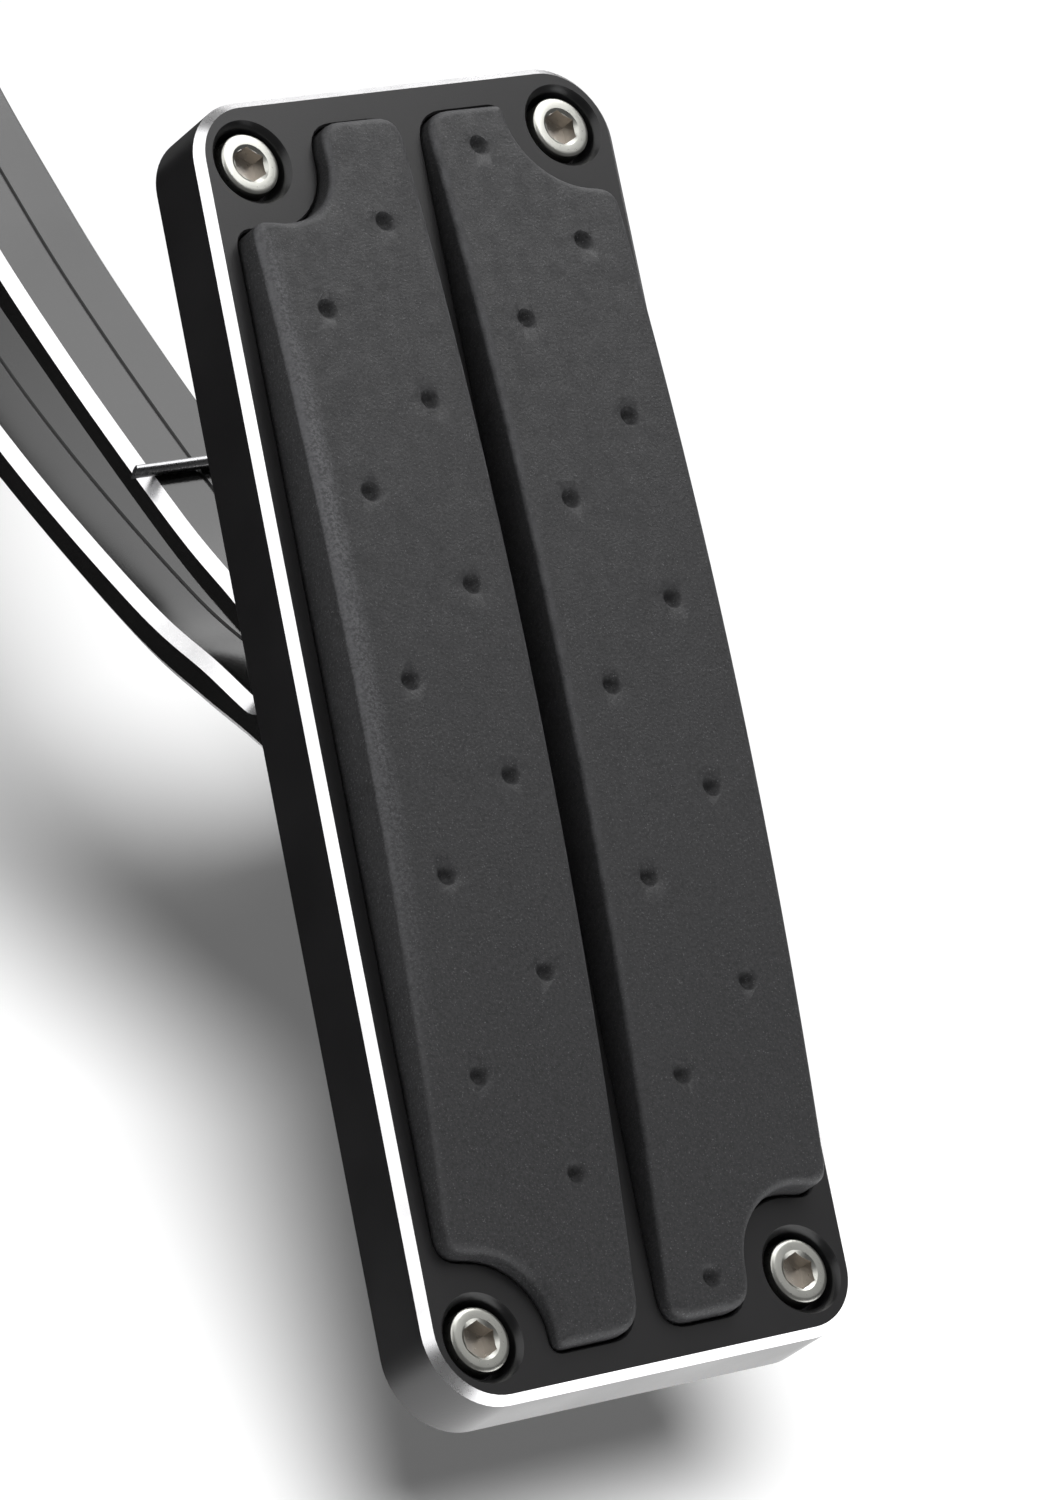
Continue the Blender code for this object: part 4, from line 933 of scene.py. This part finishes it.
def build_cable_end():
    """The swivel in the arm's top eye: a cross hole for a cable, and its set screw."""
    place = CABLE_AT @ ALONG_X @ turn(180, "X")
    barrel = [(0, 21.5), (5.2, 21.5), (5.7, 21.3), (6.0, 20.8), (6.0, 9.0), (5.6, 8.6), (3.6, 8.6),
              (3.6, -9.1), (2.9, -9.1), (2.9, -10.3), (3.6, -10.3), (3.6, -10.6), (3.2, -11.0),
              (0, -11.0)]
    cross = [(0, 9), (4.5, 9), (1.4, 5.7), (1.4, -5.7), (4.5, -9), (0, -9)]
    tapped = [(0, 23), (4.2, 23), (2.8, 21.2), (2.8, 14.8), (0, 14.8)]
    piece("cable_swivel_body", spun(barrel, 56), place, "swivel", [BRIGHT_ZINC, SOCKET],
          cuts=[(spun(cross, 32), CABLE_AT @ shift(-13.0) @ turn(90, "X")),
                (spun(tapped, 40), place)], nodes=["cable_swivel"])
    snap_ring("swivel_clip", CABLE_AT @ shift(9.7), 3.2, 6.2, 0.7, "swivel")
    screw = [(0, 20.8), (2.2, 20.8), (2.5, 20.5), (2.5, 15.6), (2.0, 15.1), (0, 15.1)]
    piece("cable_set_screw_body", spun(screw, 40), place, "swivel", [BRIGHT_ZINC, SOCKET],
          cuts=[(ngon(2.5, 18.4, 22.0, mark=1), place)], nodes=["cable_set_screw"])


build_pad()
build_inserts()
build_pad_hinge()
build_pad_spring()
build_arm()
build_bracket()
build_pivot()
build_return_spring()
build_cable_end()


# ==== studio ==============================================================================
def build_floor():
    bm = bmesh.new()
    bmesh.ops.create_grid(bm, x_segments=4, y_segments=4, size=30.0)
    floor = bpy.data.objects.new("studio_floor", finished(bm, "studio_floor"))
    floor.location = (0.0, 0.0, FLOOR_Z)
    bpy.context.scene.collection.objects.link(floor)
    made, tree, shader = nodes_of("studio_paper")
    cloud = noise_node(tree, 2.0, 2.0, 0.5)
    tree.links.new(mix(tree, cloud, (0.90, 0.90, 0.90), (0.92, 0.92, 0.92)),
                   shader.inputs["Base Color"])
    shader.inputs["Roughness"].default_value = 0.9
    shader.inputs["Specular IOR Level"].default_value = 0.2
    floor.data.materials.append(made)
    floor.visible_glossy = False
    return floor


def facing(made, direction, distance):
    """Puts a light or card where its back is to a direction seen from the pedal."""
    aim = Vector(direction).normalized()
    made.location = Vector(LIT_POINT) + aim * distance
    made.rotation_mode = "QUATERNION"
    made.rotation_quaternion = aim.to_track_quat("Z", "Y")
    bpy.context.scene.collection.objects.link(made)


def softbox(name, direction, distance, size, radiance, diffuse, receivers):
    """An area light facing the pedal; radiance is about what a mirror would show."""
    data = bpy.data.lights.new(name, "AREA")
    data.shape = "RECTANGLE"
    data.size, data.size_y = size
    data.energy = radiance * size[0] * size[1]
    made = bpy.data.objects.new(name, data)
    facing(made, direction, distance)
    made.visible_camera = False
    made.visible_diffuse = diffuse
    made.light_linking.receiver_collection = receivers


def dark_card(name, direction, distance, size):
    """A black card that only reflections see, to keep the side walls dark."""
    loop = [(-size[0] / 2, -size[1] / 2), (size[0] / 2, -size[1] / 2),
            (size[0] / 2, size[1] / 2), (-size[0] / 2, size[1] / 2)]
    made = bpy.data.objects.new(name, slab([(x / MM, y / MM) for x, y in loop], -2.0, 0.0))
    facing(made, direction, distance)
    made.visible_camera = False
    made.visible_diffuse = False
    made.visible_shadow = False
    black, _, shader = nodes_of("studio_card")
    shader.inputs["Base Color"].default_value = (0.004, 0.004, 0.004, 1.0)
    shader.inputs["Specular IOR Level"].default_value = 0.0
    made.data.materials.append(black)


def build_lights(floor):
    on_floor = bpy.data.collections.new("lit_floor")
    on_floor.objects.link(floor)
    off_floor = bpy.data.collections.new("unlit_floor")
    off_floor.objects.link(floor)
    off_floor.collection_objects[0].light_linking.link_state = "EXCLUDE"
    sun = bpy.data.lights.new("key", "SUN")
    sun.energy = SUN_POWER
    sun.angle = math.radians(SUN_SIZE)
    made = bpy.data.objects.new("key", sun)
    made.rotation_mode = "QUATERNION"
    made.rotation_quaternion = Vector(SUN_FROM).normalized().to_track_quat("Z", "Y")
    made.light_linking.receiver_collection = on_floor
    bpy.context.scene.collection.objects.link(made)
    for entry in SOFTBOXES:
        softbox(*entry, off_floor)
    for entry in CARDS:
        dark_card(*entry)

    world = bpy.data.worlds.new("studio")
    bpy.context.scene.world = world
    world.use_nodes = True
    tree = world.node_tree
    coord = add(tree, "ShaderNodeTexCoord")
    split = add(tree, "ShaderNodeSeparateXYZ")
    tree.links.new(coord.outputs["Generated"], split.inputs["Vector"])
    steps = add(tree, "ShaderNodeValToRGB")
    ramp_points = steps.color_ramp.elements
    while len(ramp_points) < len(SKY):
        ramp_points.new(0.5)
    for element, (height, value) in zip(ramp_points, SKY):
        element.position = (height + 1.0) / 2.0
        element.color = (value, value, value, 1.0)
    tree.links.new(ramp(tree, split.outputs["Z"], -1.0, 1.0, 0.0, 1.0), steps.inputs["Fac"])
    tree.links.new(steps.outputs["Color"], tree.nodes["Background"].inputs["Color"])


def build_camera():
    data = bpy.data.cameras.new("camera")
    data.sensor_fit = "AUTO"
    data.sensor_width = 36.0
    data.lens = LENS
    data.clip_start, data.clip_end = 0.05, 100.0
    made = bpy.data.objects.new("camera", data)
    right = Vector(CAMERA_RIGHT).normalized()
    forward = Vector(CAMERA_FORWARD).normalized()
    up = right.cross(forward).normalized()
    right = forward.cross(up)
    x, y, z = CAMERA_AT
    made.matrix_world = Matrix((
        (right.x, up.x, -forward.x, x),
        (right.y, up.y, -forward.y, y),
        (right.z, up.z, -forward.z, z),
        (0.0, 0.0, 0.0, 1.0)))
    bpy.context.scene.collection.objects.link(made)
    bpy.context.scene.camera = made


LIT_POINT = (0.0, -0.2, -0.15)
FLOOR_Z = -0.308
SUN_FROM = (-0.537, -0.739, 0.407)
SUN_POWER = 8.0
SUN_SIZE = 7.0
# name, direction from the pedal, distance, size, radiance, whether it lights dull surfaces
SOFTBOXES = (
    ("box_main", (0.35, -0.217, 0.91), 0.60, (0.45, 0.45), 7.3, True),
    ("box_face", (0.608, -0.489, 0.626), 1.3, (1.1, 0.9), 0.9, False),
    ("box_top", (0.608, 0.265, 0.748), 1.3, (0.8, 0.8), 9.5, False),
    ("box_left", (-0.63, 0.03, 0.77), 1.2, (1.5, 1.4), 4.0, False),
    ("box_rear", (0.608, 0.626, 0.489), 1.3, (0.6, 0.5), 2.4, False),
    ("box_low", (0.15, -0.05, -0.95), 0.135, (0.35, 0.3), 5.5, False),
)
# name, direction, distance and size
CARDS = (("card_left", (-0.55, 0.82, -0.08), 0.5, (1.0, 0.5)),)
# height of a direction (its z) and the brightness there
SKY = ((-1.0, 0.15), (-0.03, 0.12), (0.05, 0.08), (0.35, 0.12), (1.0, 0.2))
LENS = 229.36
CAMERA_AT = (-0.6784, -1.0665, 0.0945)
CAMERA_RIGHT = (0.7829, -0.6215, 0.0273)
CAMERA_FORWARD = (0.6079, 0.7550, -0.2458)

build_lights(build_floor())
build_camera()
bpy.context.scene.view_settings.view_transform = "Standard"
bpy.context.scene.view_settings.look = "None"

bpy.context.view_layer.update()
